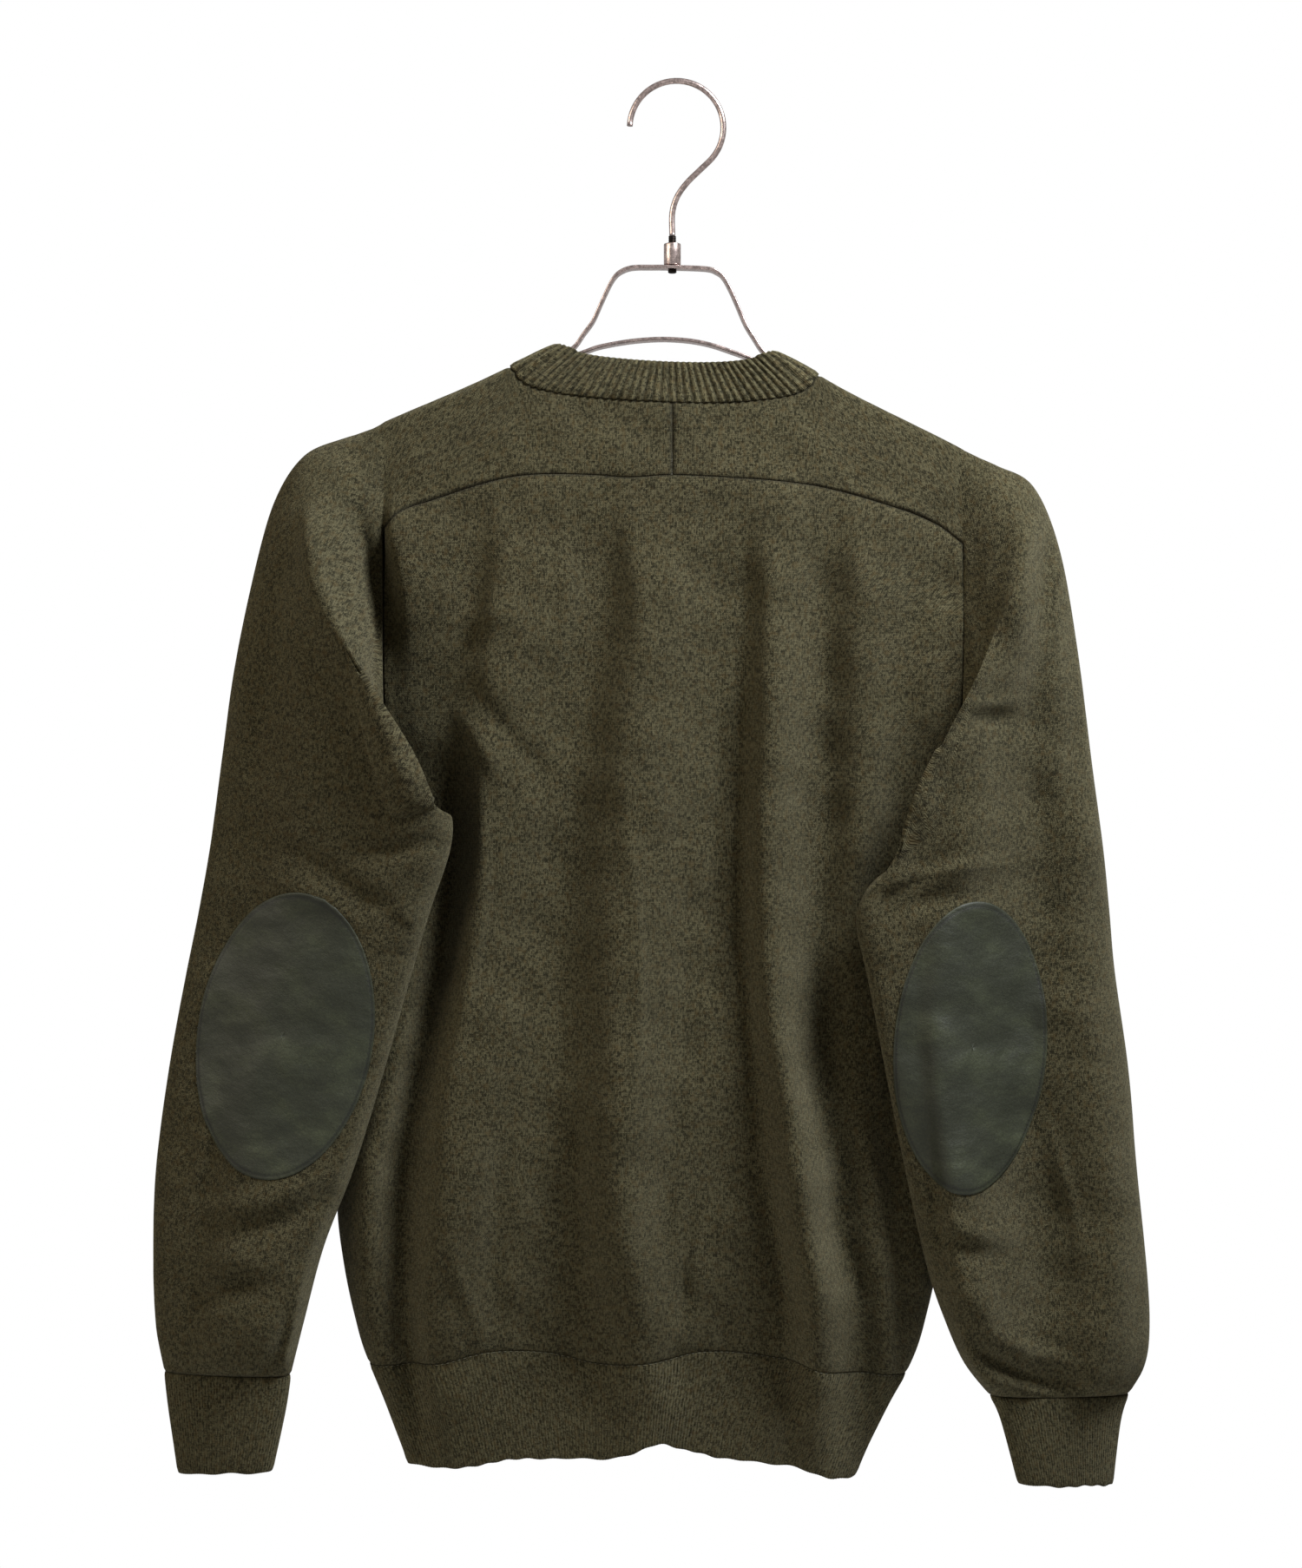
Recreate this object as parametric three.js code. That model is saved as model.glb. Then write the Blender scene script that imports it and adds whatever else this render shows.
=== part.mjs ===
// A fine-knit wool sweater with leather elbow patches, hanging on a flat metal hanger with its back
// towards -Y. Sizes are in millimetres, X runs across, +Y is the front of the garment and +Z is up.
// The origin is where the inside of the hook rests on its rail.
import * as THREE from 'three';

// Cloth and seams
const KNIT = 2.2;
const RIB_KNIT = 2.4;
const LEATHER = 1.2;
const SEAM = 0.4;
const NECK_GAP = 1.4;
const PATCH_LIFT = 1.0;

// The fold of the cloth over the hanger's arms, as an outer surface
const SHOULDER_LINE = [[-232, -228], [-205, -213.5], [-164, -195], [-123, -177.5], [-93, -163.5],
  [-72, -154], [-40, -147], [-6, -146], [30, -150.5], [60, -159.5], [101, -182], [162, -212.5],
  [203, -235.5], [225, -248]];
const FOLD_HALF_DEPTH = 10.5;
const FOLD_DROP = 8;
const FOLD_ARC = 14;
const SWELL = 29;
const SWELL_LENGTH = 200;

// The body's plan: an oval that is flat front and back
const OVAL = 3;
const BODY_FLATNESS = 0.21;
const CENTRE_X = -4;
const ARMPIT_Z = -436;
const ARMPIT_HALF_WIDTH = 160.5;
const SHOULDER_SPREAD = 520;
const SPREAD_HEIGHT = 190;
const SIDES = [[-817, -157, 103], [-802, -160.7, 109.1], [-787, -166.3, 116.3], [-771, -172.4, 124.4],
  [-756, -178.5, 133.1], [-741, -184.6, 139.7], [-725, -189, 144.3], [-695, -195.5, 151],
  [-659, -200, 156], [-620, -199, 158], [-560, -188, 158], [-500, -176, 157], [-436, -164.5, 156.5]];
const HEM_SEAM = [[-185, -750], [-139, -746], [-108, -739], [-77, -740], [-48, -746], [-13, -744],
  [15, -739.5], [59, -744], [90, -751], [145, -757]];
const HEM_LEFT_Z = -750;
const HEM_EDGE = [[-160, -808], [-127, -806], [-90, -801], [-50, -801], [-28, -797], [-13, -791],
  [2, -796], [40, -803], [65, -806], [90, -813], [110, -815]];
const HEM_EDGE_LEFT_Z = -808;

// Seams on the back and the front
const YOKE_SEAM = [[-172, -262], [-162, -252.5], [-144, -246], [-105, -234], [-80, -231], [-50, -231.5],
  [-30, -233], [-4, -231.5], [30, -233], [60, -235], [84, -238.6], [113, -246], [149, -259], [165, -271]];
const ARMHOLE = [[-436, -164.5, 156.5], [-420, -167, 159], [-400, -169.5, 161], [-380, -171, 163],
  [-359, -172, 164], [-320, -172.5, 165], [-250, -172, 165]];
const FRONT_CORNER_S = 36;
const FRONT_ARMHOLE_DROP = 52;
const FRONT_SEAM_GAP = 0.6;

// The neck: the seam of the ribbed band and its free edge, as ovals on the draped cloth
const NECK_SEAM = { centre: -8.5, half: 90.5, back: 48.6, front: 120 };
const NECK_EDGE = { centre: -7.5, half: 63, back: 24.6, front: 93 };
const NECK_RIBS = 130;
const RIB_HEIGHT = 0.8;

// Upright folds on the back: each row is height, then x, and each fold has a half width and a height
// that fades in at the top. A negative height is a trough.
const FOLDS = [
  { half: 11, high: 9, path: [[-250, 69], [-580, 68], [-630, 77], [-690, 89], [-810, 96]] },
  { half: 17, high: 7, path: [[-250, 0], [-450, -1], [-570, -8], [-630, -13], [-690, -13], [-810, -13]],
    ends: -735 },
  { half: 15, high: 7, path: [[-250, -80], [-450, -91], [-570, -113], [-690, -130], [-810, -118]] },
  { half: 10, high: 5, path: [[-300, 120], [-400, 111], [-500, 108], [-690, 128], [-810, 100]] },
  { half: 12, high: 6, path: [[-580, 14], [-630, 20], [-690, 46], [-810, 46]], starts: -560 },
  { half: 12, high: 5, path: [[-580, -78], [-690, -86], [-810, -60]], starts: -570 },
  { half: 11, high: -13, path: [[-360, -122], [-450, -126], [-570, -141], [-690, -151], [-810, -143]],
    starts: -330 },
  { half: 16, high: -5, path: [[-300, -42], [-570, -49], [-690, -55], [-810, -60]] },
  { half: 9, high: -10, path: [[-700, -13], [-810, -13]], starts: -735 },
];
const FRONT_FOLDS = [
  { half: 15, high: 7, path: [[-300, -60], [-810, -86]], starts: -300 },
  { half: 16, high: 8, path: [[-330, 18], [-810, 8]], starts: -300 },
  { half: 14, high: 7, path: [[-300, 88], [-810, 66]], starts: -280 },
  { half: 12, high: -7, path: [[-430, -128], [-810, -130]], starts: -400 },
];
const FOLD_START = -250;
const FOLD_FADE = 130;
const FOLD_END_RISE = 40;
const FOLD_END_FADE = 60;

// Sleeves below the armhole. A ring is its outer edge, its inner edge and its half depths back and front
const RIGHT_RINGS = [
  { outer: [186, 0, -224.5], inner: [164, -7, -441], back: 27, front: 27, bow: 0, tip: 3.2 },
  { outer: [207, -1, -237.5], inner: [160, -23, -445], back: 32, front: 26, bow: 6, tip: 3 },
  { outer: [222, -3, -273], inner: [149, -37, -449], back: 33, front: 19, bow: 14 },
  { outer: [232, -5, -330], inner: [134, -44, -454], back: 28, front: 17, bow: 16 },
  { outer: [240, -7, -395], inner: [118, -48, -461], back: 22, front: 15, bow: 11 },
  { outer: [247, -8, -447], inner: [106, -50, -473], back: 18, front: 14, bow: 4 },
  { outer: [251, -8, -484], inner: [101, -50, -491], back: 16, front: 14, bow: 0 },
  { outer: [254, -9, -520], inner: [108, -49, -524], back: 16, front: 14, bow: 0 },
  { outer: [262, -9, -577], inner: [118.5, -46, -578], back: 16, front: 14, bow: 0 },
  { outer: [266.5, -10, -632], inner: [130, -41, -634], back: 16, front: 15, bow: 0 },
  { outer: [272.5, -10, -693], inner: [143, -34, -690], back: 17, front: 16, bow: 0 },
  { outer: [274, -11, -727], inner: [154, -30, -722], back: 18, front: 17, bow: 0 },
  { outer: [271, -12, -749], inner: [165, -27, -746], back: 17, front: 16, bow: 0 },
  { outer: [261.8, -13, -766], inner: [180, -25, -765], back: 12, front: 12, bow: 0 },
];
const LEFT_RINGS = [
  { outer: [-196, 0, -208.5], inner: [-172, -7, -441], back: 28, front: 27, bow: 0, tip: 3.2 },
  { outer: [-219, -1, -220], inner: [-171, -27, -442], back: 34, front: 25, bow: 3, tip: 3 },
  { outer: [-236, -3, -246], inner: [-158, -42, -438], back: 36, front: 19, bow: 15 },
  { outer: [-248, -5, -290], inner: [-145, -46, -432], back: 32, front: 17, bow: 20 },
  { outer: [-259, -7, -345], inner: [-135.5, -49, -428], back: 25, front: 15, bow: 15 },
  { outer: [-267, -8, -402], inner: [-130, -50, -431], back: 19, front: 14, bow: 6 },
  { outer: [-273, -8, -445], inner: [-131.5, -50, -450], back: 17, front: 14, bow: 1 },
  { outer: [-279, -9, -480], inner: [-143, -48, -484], back: 16, front: 14, bow: 0 },
  { outer: [-288, -9, -525], inner: [-155, -46, -524], back: 16, front: 14, bow: 0 },
  { outer: [-297, -10, -575], inner: [-169, -43, -573], back: 16, front: 14, bow: 0 },
  { outer: [-304.5, -10, -632], inner: [-187, -38, -631], back: 16, front: 15, bow: 0 },
  { outer: [-306, -11, -678], inner: [-205, -33, -677], back: 16, front: 15, bow: 0 },
  { outer: [-304.5, -12, -722], inner: [-217, -30, -721], back: 15, front: 14, bow: 0 },
  { outer: [-299.5, -13, -753], inner: [-225, -27, -753], back: 12, front: 12, bow: 0 },
];
const RIGHT_CUFF = [
  { outer: [257, -13, -782], inner: [186.5, -25, -779], back: 11, front: 11, bow: 0 },
  { outer: [252.5, -13, -818], inner: [196.5, -25, -816], back: 10, front: 10, bow: 0 },
];
const LEFT_CUFF = [
  { outer: [-297, -13, -775], inner: [-228, -27, -773], back: 11, front: 11, bow: 0 },
  { outer: [-291.5, -13, -811], inner: [-235.5, -27, -808], back: 10, front: 10, bow: 0 },
];
const RING_OVAL = 2.3;
const RING_FLATNESS = 0.22;
const ROWS_PER_RING = [2, 2, 1, 2, 2, 1, 1, 1, 2, 1, 2, 1, 1, 1];

const PATCHES = {
  left: { x: -226.8, z: -555, halfWidth: 51.7, halfHeight: 82.8, lean: 9.5 },
  right: { x: 167, z: -561.4, halfWidth: 45, halfHeight: 83.3, lean: 3 },
};

// The hanger
const WIRE_RADIUS = 1.75;
const WIRE_SIDES = 8;
const HOOK_CENTRE = [-1.3, -25.75];
const HOOK_RADIUS = 27.5;
const HOOK_FROM = 178;
const HOOK_TO = -46;
const HOOK_STEM = [[11.5, -51.5], [4.5, -58.5], [-1, -66.5], [-3.8, -76], [-3.8, -89]];
const HOOK_ARC_STEPS = 16;
const HOOK_STEPS = 36;
const STEM_X = -3.8;
const FERRULE_TOP = -89.3;
const FERRULE_SHOULDER = -93.8;
const FERRULE_BOTTOM = -106.6;
const FERRULE_RADIUS = 5;
const FERRULE_BEVEL = 0.8;
const FERRULE_SIDES = 16;
const THREAD_RADIUS = 2.25;
const BAR_DEPTH = 10.4;
const BAR_THICKNESS = 2;
const BAR_BELOW_CLOTH = 2.8;
const FRAME_NECK = [[-61.5, -154.9], [-55.7, -147], [-50.2, -139.4], [-45.4, -128.9], [-40.6, -118.6],
  [-37, -113], [-32.8, -109.9], [-26.6, -108.1], [-15.3, -107.9], [-4, -108], [16, -108.8], [22.4, -110.9],
  [26.1, -113.9], [30.1, -121], [34.1, -129.9], [38.9, -141.1], [43.9, -149.4], [49, -157]];
const ARM_LEFT = [-201, -186, -164, -140, -116, -93, -80, -70];
const ARM_RIGHT = [57, 68, 82, 101, 122, 142, 162, 180, 193];
const ARCH = [[-78, -165], [-66, -161.6], [-54, -157.2], [-47, -154.8], [-34.7, -152.3], [-21.9, -150.7],
  [-8.8, -150.1], [4, -150.8], [13.7, -152.3], [21.8, -154.4], [30, -157.2], [40, -160.8], [52, -166],
  [64, -171], [74, -176]];

// How finely the cloth is divided
const NECK_STEPS = 10;
const SHOULDER_STEPS = 5;
const FRONT_NECK_STEPS = 10;
const SADDLE_STEPS = 10;
const FOLD_DENSITY = 3;
const ROWS_ABOVE = 10;
const ROWS_BELOW = 12;
const HEM_ROWS = 3;
const CUFF_ROWS = 2;
const PATCH_SECTORS = 22;
const PATCH_RINGS = [0.35, 0.65, 0.85, 0.94, 1];
const FRAME_STEPS = 64;
const ARCH_STEPS = 24;
const MEASURE_STEPS = 720;
const TINY = 1e-9;

const lerp = (a, b, t) => a + (b - a) * t;
const clamp = (v, low, high) => Math.min(Math.max(v, low), high);
const ease = (t) => t * t * (3 - 2 * t);

// Reads a smooth value from rows of key and values, in rising order of the key.
function along(rows, key, column = 1) {
  const last = rows.length - 1;
  const k = clamp(key, rows[0][0], rows[last][0]);
  let i = 0;
  while (i < last - 1 && rows[i + 1][0] < k) {
    i += 1;
  }
  const slope = (j) => {
    const a = rows[Math.max(j - 1, 0)];
    const b = rows[Math.min(j + 1, last)];
    return (b[column] - a[column]) / (b[0] - a[0]);
  };
  const width = rows[i + 1][0] - rows[i][0];
  const t = (k - rows[i][0]) / width;
  const rise = rows[i + 1][column] - rows[i][column];
  const m0 = slope(i) * width;
  const m1 = slope(i + 1) * width;
  return rows[i][column] + m0 * t + (3 * rise - 2 * m0 - m1) * t * t + (m0 + m1 - 2 * rise) * t * t * t;
}

const byHeight = (path) => [...path].sort((a, b) => a[0] - b[0]);
const shoulderTop = (x) => along(SHOULDER_LINE, x);

// Half depth of the hanging cloth, a given drop below the fold over the hanger.
function hang(drop) {
  const u = clamp(drop / FOLD_DROP, 0, 1);
  const fold = FOLD_HALF_DEPTH * (1 - (1 - u) ** OVAL) ** (1 / OVAL);
  return fold + SWELL * (1 - Math.exp(-Math.max(drop - FOLD_DROP, 0) / SWELL_LENGTH));
}

function bodyPlan(z) {
  if (z > ARMPIT_Z) {
    const up = (z - ARMPIT_Z) / SPREAD_HEIGHT;
    return { centre: CENTRE_X, half: ARMPIT_HALF_WIDTH + SHOULDER_SPREAD * up * up };
  }
  const left = along(SIDES, z, 1);
  const right = along(SIDES, z, 2);
  return { centre: (left + right) / 2, half: (right - left) / 2 };
}

function sideFall(x, z) {
  const { centre, half } = bodyPlan(z);
  const across = clamp(Math.abs(x - centre) / half, 0, 1);
  return (1 - across ** OVAL) ** (1 / OVAL);
}

function foldHeight(folds, x, z) {
  let sum = 0;
  for (const fold of folds) {
    const top = fold.starts ?? FOLD_START;
    const fadeIn = ease(clamp((top - z) / FOLD_FADE, 0, 1));
    const past = fold.ends ? (fold.ends + FOLD_END_RISE - z) / FOLD_END_FADE : 0;
    const fadeOut = 1 - ease(clamp(past, 0, 1));
    const off = (x - along(byHeight(fold.path), z)) / fold.half;
    sum += fold.high * fadeIn * fadeOut * Math.exp(-off * off);
  }
  return sum;
}

function backPoint(x, z) {
  const fall = sideFall(x, z);
  const depth = hang(shoulderTop(x) - z) * fall + foldHeight(FOLDS, x, z) * fall;
  return new THREE.Vector3(x, -depth, z);
}

function frontPoint(x, z) {
  const fall = sideFall(x, z);
  const depth = hang(shoulderTop(x) - z) * fall + foldHeight(FRONT_FOLDS, x, z) * fall;
  return new THREE.Vector3(x, depth, z);
}

// A point on the draped shoulders: s is the distance from the fold line, negative at the back.
function drape(x, s) {
  const far = Math.abs(s) - FOLD_ARC;
  if (far >= 0) {
    const z = shoulderTop(x) - FOLD_DROP - far;
    return s < 0 ? backPoint(x, z) : frontPoint(x, z);
  }
  const turn = (Math.abs(s) / FOLD_ARC) * (Math.PI / 2);
  const y = FOLD_HALF_DEPTH * Math.sin(turn) ** (2 / OVAL) * Math.sign(s);
  const z = shoulderTop(x) - FOLD_DROP * (1 - Math.cos(turn) ** (2 / OVAL));
  return new THREE.Vector3(x, y, z);
}

// Splits a route from 0 to 1 into steps that are short where it crosses the fold over the hanger.
function foldSteps(sAt, count) {
  const sums = [0];
  for (let i = 0; i < MEASURE_STEPS; i += 1) {
    const near = Math.abs(sAt((i + 0.5) / MEASURE_STEPS)) < FOLD_ARC;
    sums.push(sums[i] + (near ? FOLD_DENSITY : 1));
  }
  return Array.from({ length: count + 1 }, (_, n) => {
    const want = (sums.at(-1) * n) / count;
    const i = clamp(sums.findIndex((v) => v >= want - TINY), 1, MEASURE_STEPS);
    const part = (want - sums[i - 1]) / (sums[i] - sums[i - 1]);
    return clamp((i - 1 + part) / MEASURE_STEPS, 0, 1);
  });
}

const distanceOf = (x, z) => shoulderTop(x) - FOLD_DROP - z + FOLD_ARC;

function neckOval(oval, angle) {
  const sine = Math.sin(angle);
  return [oval.centre + oval.half * Math.cos(angle), (sine < 0 ? oval.back : oval.front) * sine];
}

// A sheet of points and triangles that is open, and is later given its thickness.
class Sheet {
  constructor() {
    this.points = [];
    this.faces = [];
    this.sideways = new Set();
  }

  add(point) {
    this.points.push(point);
    return this.points.length - 1;
  }

  quad(a, b, c, d) {
    this.faces.push([a, b, c], [a, c, d]);
  }

  // Joins rows of point numbers, each one as long as the next.
  weave(rows, closed = false) {
    for (let j = 0; j + 1 < rows.length; j += 1) {
      const width = rows[j].length;
      const steps = closed ? width : width - 1;
      for (let i = 0; i < steps; i += 1) {
        const n = (i + 1) % width;
        this.quad(rows[j][i], rows[j + 1][i], rows[j + 1][n], rows[j][n]);
      }
    }
  }

  flip() {
    this.faces = this.faces.map(([a, b, c]) => [a, c, b]);
  }

  normals() {
    const sum = this.points.map(() => new THREE.Vector3());
    for (const [a, b, c] of this.faces) {
      const edge = this.points[b].clone().sub(this.points[a]);
      const area = edge.cross(this.points[c].clone().sub(this.points[a]));
      for (const i of [a, b, c]) {
        sum[i].add(area);
      }
    }
    for (const i of this.sideways) {
      sum[i].y = 0;
    }
    return sum.map((n) => n.normalize());
  }
}

// Gives a sheet its thickness: its own points are the outer side, and raise lifts some of them.
function thicken(sheet, thickness, raise = () => 0) {
  const normals = sheet.normals();
  const count = sheet.points.length;
  const outer = sheet.points.map((p, i) => p.clone().addScaledVector(normals[i], raise(i)));
  const inner = sheet.points.map((p, i) => p.clone().addScaledVector(normals[i], -thickness));
  const index = [];
  const open = new Map();
  for (const [a, b, c] of sheet.faces) {
    index.push(a, b, c, a + count, c + count, b + count);
    for (const [u, v] of [[a, b], [b, c], [c, a]]) {
      if (!open.delete(`${v},${u}`)) {
        open.set(`${u},${v}`, [u, v]);
      }
    }
  }
  for (const [u, v] of open.values()) {
    index.push(v, u, u + count, v, u + count, v + count);
  }
  const geometry = new THREE.BufferGeometry().setFromPoints([...outer, ...inner]);
  geometry.setIndex(index);
  return geometry;
}

// Neck seam points, from the centre back round one side to the front corner.
const cornerAngle = Math.asin(FRONT_CORNER_S / NECK_SEAM.front);
function sideNeckAngles(side) {
  const start = -Math.PI / 2 + Math.asin((CENTRE_X - NECK_SEAM.centre) / NECK_SEAM.half);
  const end = side > 0 ? cornerAngle : -Math.PI - cornerAngle;
  const sAt = (t) => neckOval(NECK_SEAM, lerp(start, end, t))[1];
  return foldSteps(sAt, NECK_STEPS).map((t) => lerp(start, end, t));
}
const frontNeckAngles = Array.from({ length: FRONT_NECK_STEPS + 1 },
  (_, i) => lerp(cornerAngle, Math.PI - cornerAngle, i / FRONT_NECK_STEPS));

const armholeX = (side, z) => along(ARMHOLE, z, side > 0 ? 2 : 1);
const yokeEnd = (side) => (side > 0 ? YOKE_SEAM[YOKE_SEAM.length - 1] : YOKE_SEAM[0]);

// The front seam of the shoulder piece, as [x, s] from the neck to the armhole.
function frontShoulder(side) {
  const [x0, s0] = neckOval(NECK_SEAM, side > 0 ? cornerAngle : Math.PI - cornerAngle);
  const x1 = yokeEnd(side)[0];
  return Array.from({ length: SHOULDER_STEPS + 1 }, (_, i) => {
    const t = i / SHOULDER_STEPS;
    return [lerp(x0, x1, t), lerp(s0, FRONT_ARMHOLE_DROP, t)];
  });
}

// The x of each seam point along the yoke, from the centre to one armhole.
function yokeXs(side) {
  const steps = NECK_STEPS + SHOULDER_STEPS;
  return Array.from({ length: steps + 1 }, (_, i) => lerp(CENTRE_X, yokeEnd(side)[0], i / steps));
}

// The turns that split a curve into stretches of one length.
function evenTurns(from, to, place, count) {
  const turn = (i) => lerp(from, to, i / MEASURE_STEPS);
  const lengths = [0];
  for (let i = 1; i <= MEASURE_STEPS; i += 1) {
    const [x0, y0] = place(turn(i - 1));
    const [x1, y1] = place(turn(i));
    lengths.push(lengths[i - 1] + Math.hypot(x1 - x0, y1 - y0));
  }
  return Array.from({ length: count + 1 }, (_, n) => {
    const want = (lengths.at(-1) * n) / count;
    return turn(lengths.findIndex((l) => l >= want - TINY));
  });
}

// Even steps round the flat oval of the body, from one side to the other, as -1 to 1.
function ovalSteps(count) {
  const across = (t) => Math.sign(t) * Math.abs(Math.sin(t)) ** (2 / OVAL);
  const place = (t) => [across(t), BODY_FLATNESS * Math.abs(Math.cos(t)) ** (2 / OVAL)];
  return evenTurns(-Math.PI / 2, Math.PI / 2, place, count).map(across);
}

// A body panel below its top edge: topRow is the x and z of that edge from left to right.
function panelRows(topRow, point) {
  const columns = topRow.length - 1;
  const steps = ovalSteps(columns);
  const rows = [];
  const [leftTop, rightTop] = [topRow[0], topRow[columns]];
  const topShare = topRow.map(([x]) => (x - leftTop[0]) / (rightTop[0] - leftTop[0]));
  for (let j = 0; j <= ROWS_ABOVE; j += 1) {
    const t = j / ROWS_ABOVE;
    const leftZ = lerp(leftTop[1], ARMPIT_Z, t);
    const rightZ = lerp(rightTop[1], ARMPIT_Z, t);
    const left = j === 0 ? leftTop[0] : armholeX(-1, leftZ);
    const right = j === 0 ? rightTop[0] : armholeX(1, rightZ);
    rows.push(topRow.map(([, topZ], i) => {
      const share = lerp(topShare[i], (steps[i] + 1) / 2, ease(t));
      return point(lerp(left, right, share), lerp(topZ, ARMPIT_Z, t));
    }));
  }
  for (let j = 1; j <= ROWS_BELOW; j += 1) {
    const t = j / ROWS_BELOW;
    rows.push(steps.map((step) => {
      const plan = bodyPlan(lerp(ARMPIT_Z, HEM_LEFT_Z, t));
      const z = lerp(ARMPIT_Z, along(HEM_SEAM, plan.centre + step * plan.half), t);
      const here = bodyPlan(z);
      return point(here.centre + step * here.half, z);
    }));
  }
  return rows;
}

function backTopRow() {
  const xs = [...yokeXs(-1).reverse(), ...yokeXs(1).slice(1)];
  return xs.map((x) => [x, along(YOKE_SEAM, x)]);
}

function frontTopRow() {
  const flat = ([x, s]) => [x, drape(x, s).z];
  const right = frontShoulder(1).reverse().map(flat);
  const neck = frontNeckAngles.slice(1, -1).map((a) => flat(neckOval(NECK_SEAM, a)));
  const left = frontShoulder(-1).map(flat);
  return [...right, ...neck, ...left].reverse();
}

const backRows = panelRows(backTopRow(), backPoint);
const frontRows = panelRows(frontTopRow(), frontPoint);

// The two panels stand apart by the width of the side seam.
function panelSheet(rows, front) {
  const sheet = new Sheet();
  const away = front ? SEAM / 2 : -SEAM / 2;
  const numbers = rows.map((row, j) => row.map((p, i) => {
    const side = j >= ROWS_ABOVE && (i === 0 || i === row.length - 1);
    const number = sheet.add(side ? new THREE.Vector3(p.x, away, p.z) : p.clone());
    if (side) sheet.sideways.add(number);
    return number;
  }));
  sheet.weave(numbers);
  if (front) sheet.flip();
  return sheet;
}

// The hem rib goes on from the last row of both panels, round the whole body.
function hemSheet() {
  const sheet = new Sheet();
  const steps = [ovalSteps(backRows[0].length - 1), ovalSteps(frontRows[0].length - 1)];
  const round = [
    ...steps[0].map((step) => [step, backPoint]),
    ...steps[1].slice(1, -1).reverse().map((step) => [step, frontPoint]),
  ];
  const rows = [];
  for (let j = 0; j <= HEM_ROWS; j += 1) {
    rows.push(round.map(([step, point]) => {
      const upper = bodyPlan(HEM_LEFT_Z);
      const seamZ = along(HEM_SEAM, upper.centre + step * upper.half) - SEAM;
      const lower = bodyPlan(HEM_EDGE_LEFT_Z);
      const edgeZ = along(HEM_EDGE, lower.centre + step * lower.half);
      const z = lerp(seamZ, edgeZ, j / HEM_ROWS);
      const here = bodyPlan(z);
      return sheet.add(point(here.centre + step * here.half, z));
    }));
  }
  sheet.weave(rows, true);
  return sheet;
}

// Even steps round a flat ring, starting at the outer edge and going by the back.
function ringAngles(count) {
  const place = (a) => [Math.cos(a), RING_FLATNESS * Math.sin(a)];
  return evenTurns(0, 2 * Math.PI, place, count).slice(0, -1);
}

const BACKWARD = new THREE.Vector3(0, -1, 0);
const AROUND = SADDLE_STEPS + 2 * ROWS_ABOVE;

function ringPoints(ring) {
  const outer = new THREE.Vector3(...ring.outer);
  const inner = new THREE.Vector3(...ring.inner);
  const middle = outer.clone().add(inner).multiplyScalar(0.5);
  const half = outer.clone().sub(inner).multiplyScalar(0.5);
  const across = half.clone().normalize();
  const out = BACKWARD.clone().addScaledVector(across, -BACKWARD.dot(across)).normalize();
  const inward = new THREE.Vector3(-Math.sign(ring.outer[0]), 0, 0);
  return ringAngles(AROUND).map((angle) => {
    const c = Math.cos(angle);
    const s = Math.sin(angle);
    const depth = s > 0 ? ring.back : ring.front;
    const bow = s > 0 ? ring.bow * s * s * (0.5 - 0.5 * c) : 0;
    const power = 2 / (c > 0 && ring.tip ? ring.tip : RING_OVAL);
    return middle.clone()
      .addScaledVector(half, Math.sign(c) * Math.abs(c) ** power)
      .addScaledVector(out, depth * Math.sign(s) * Math.abs(s) ** power)
      .addScaledVector(inward, bow);
  });
}

// The armhole: over the shoulder, down the back seam to the armpit and up the front seam.
function armhole(side) {
  const away = side * SEAM;
  const lastColumn = (rows) => (side > 0 ? rows[0].length - 1 : 0);
  const seam = (rows, j) => {
    const p = rows[j][lastColumn(rows)];
    return new THREE.Vector3(p.x + away, p.y, p.z);
  };
  const x = yokeEnd(side)[0] + away;
  const backS = -distanceOf(x, backRows[0][lastColumn(backRows)].z) + SEAM;
  const frontS = distanceOf(x, frontRows[0][lastColumn(frontRows)].z) - SEAM;
  const steps = foldSteps((t) => lerp(frontS, backS, t), SADDLE_STEPS);
  const over = steps.map((t) => drape(x, lerp(frontS, backS, t)));
  const halfSteps = SADDLE_STEPS / 2;
  const points = over.slice(halfSteps);
  for (let j = 1; j < ROWS_ABOVE; j += 1) {
    points.push(seam(backRows, j));
  }
  points.push(new THREE.Vector3(armholeX(side, ARMPIT_Z) + away, 0, ARMPIT_Z));
  for (let j = ROWS_ABOVE - 1; j > 0; j -= 1) {
    points.push(seam(frontRows, j));
  }
  points.push(...over.slice(0, halfSteps));
  return points;
}

// The shoulder piece that runs from the armhole to the centre back, as rows from its lower back
// edge over the shoulder to the neck seam and the front seam.
function saddleRows(side) {
  const tops = [
    ...sideNeckAngles(side).slice(0, -1).map((a) => neckOval(NECK_SEAM, a)),
    ...frontShoulder(side).map(([x, s]) => [x, s - FRONT_SEAM_GAP]),
  ];
  return yokeXs(side).slice(0, -1).map((x, j) => {
    const shift = j === 0 ? (side * SEAM) / 2 : 0;
    const low = -distanceOf(x, along(YOKE_SEAM, x)) + SEAM;
    const [topX, topS] = tops[j];
    const steps = foldSteps((t) => lerp(low, topS, t), SADDLE_STEPS);
    return steps.map((t) => drape(lerp(x, topX, t) + shift, lerp(low, topS, t)));
  });
}

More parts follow.
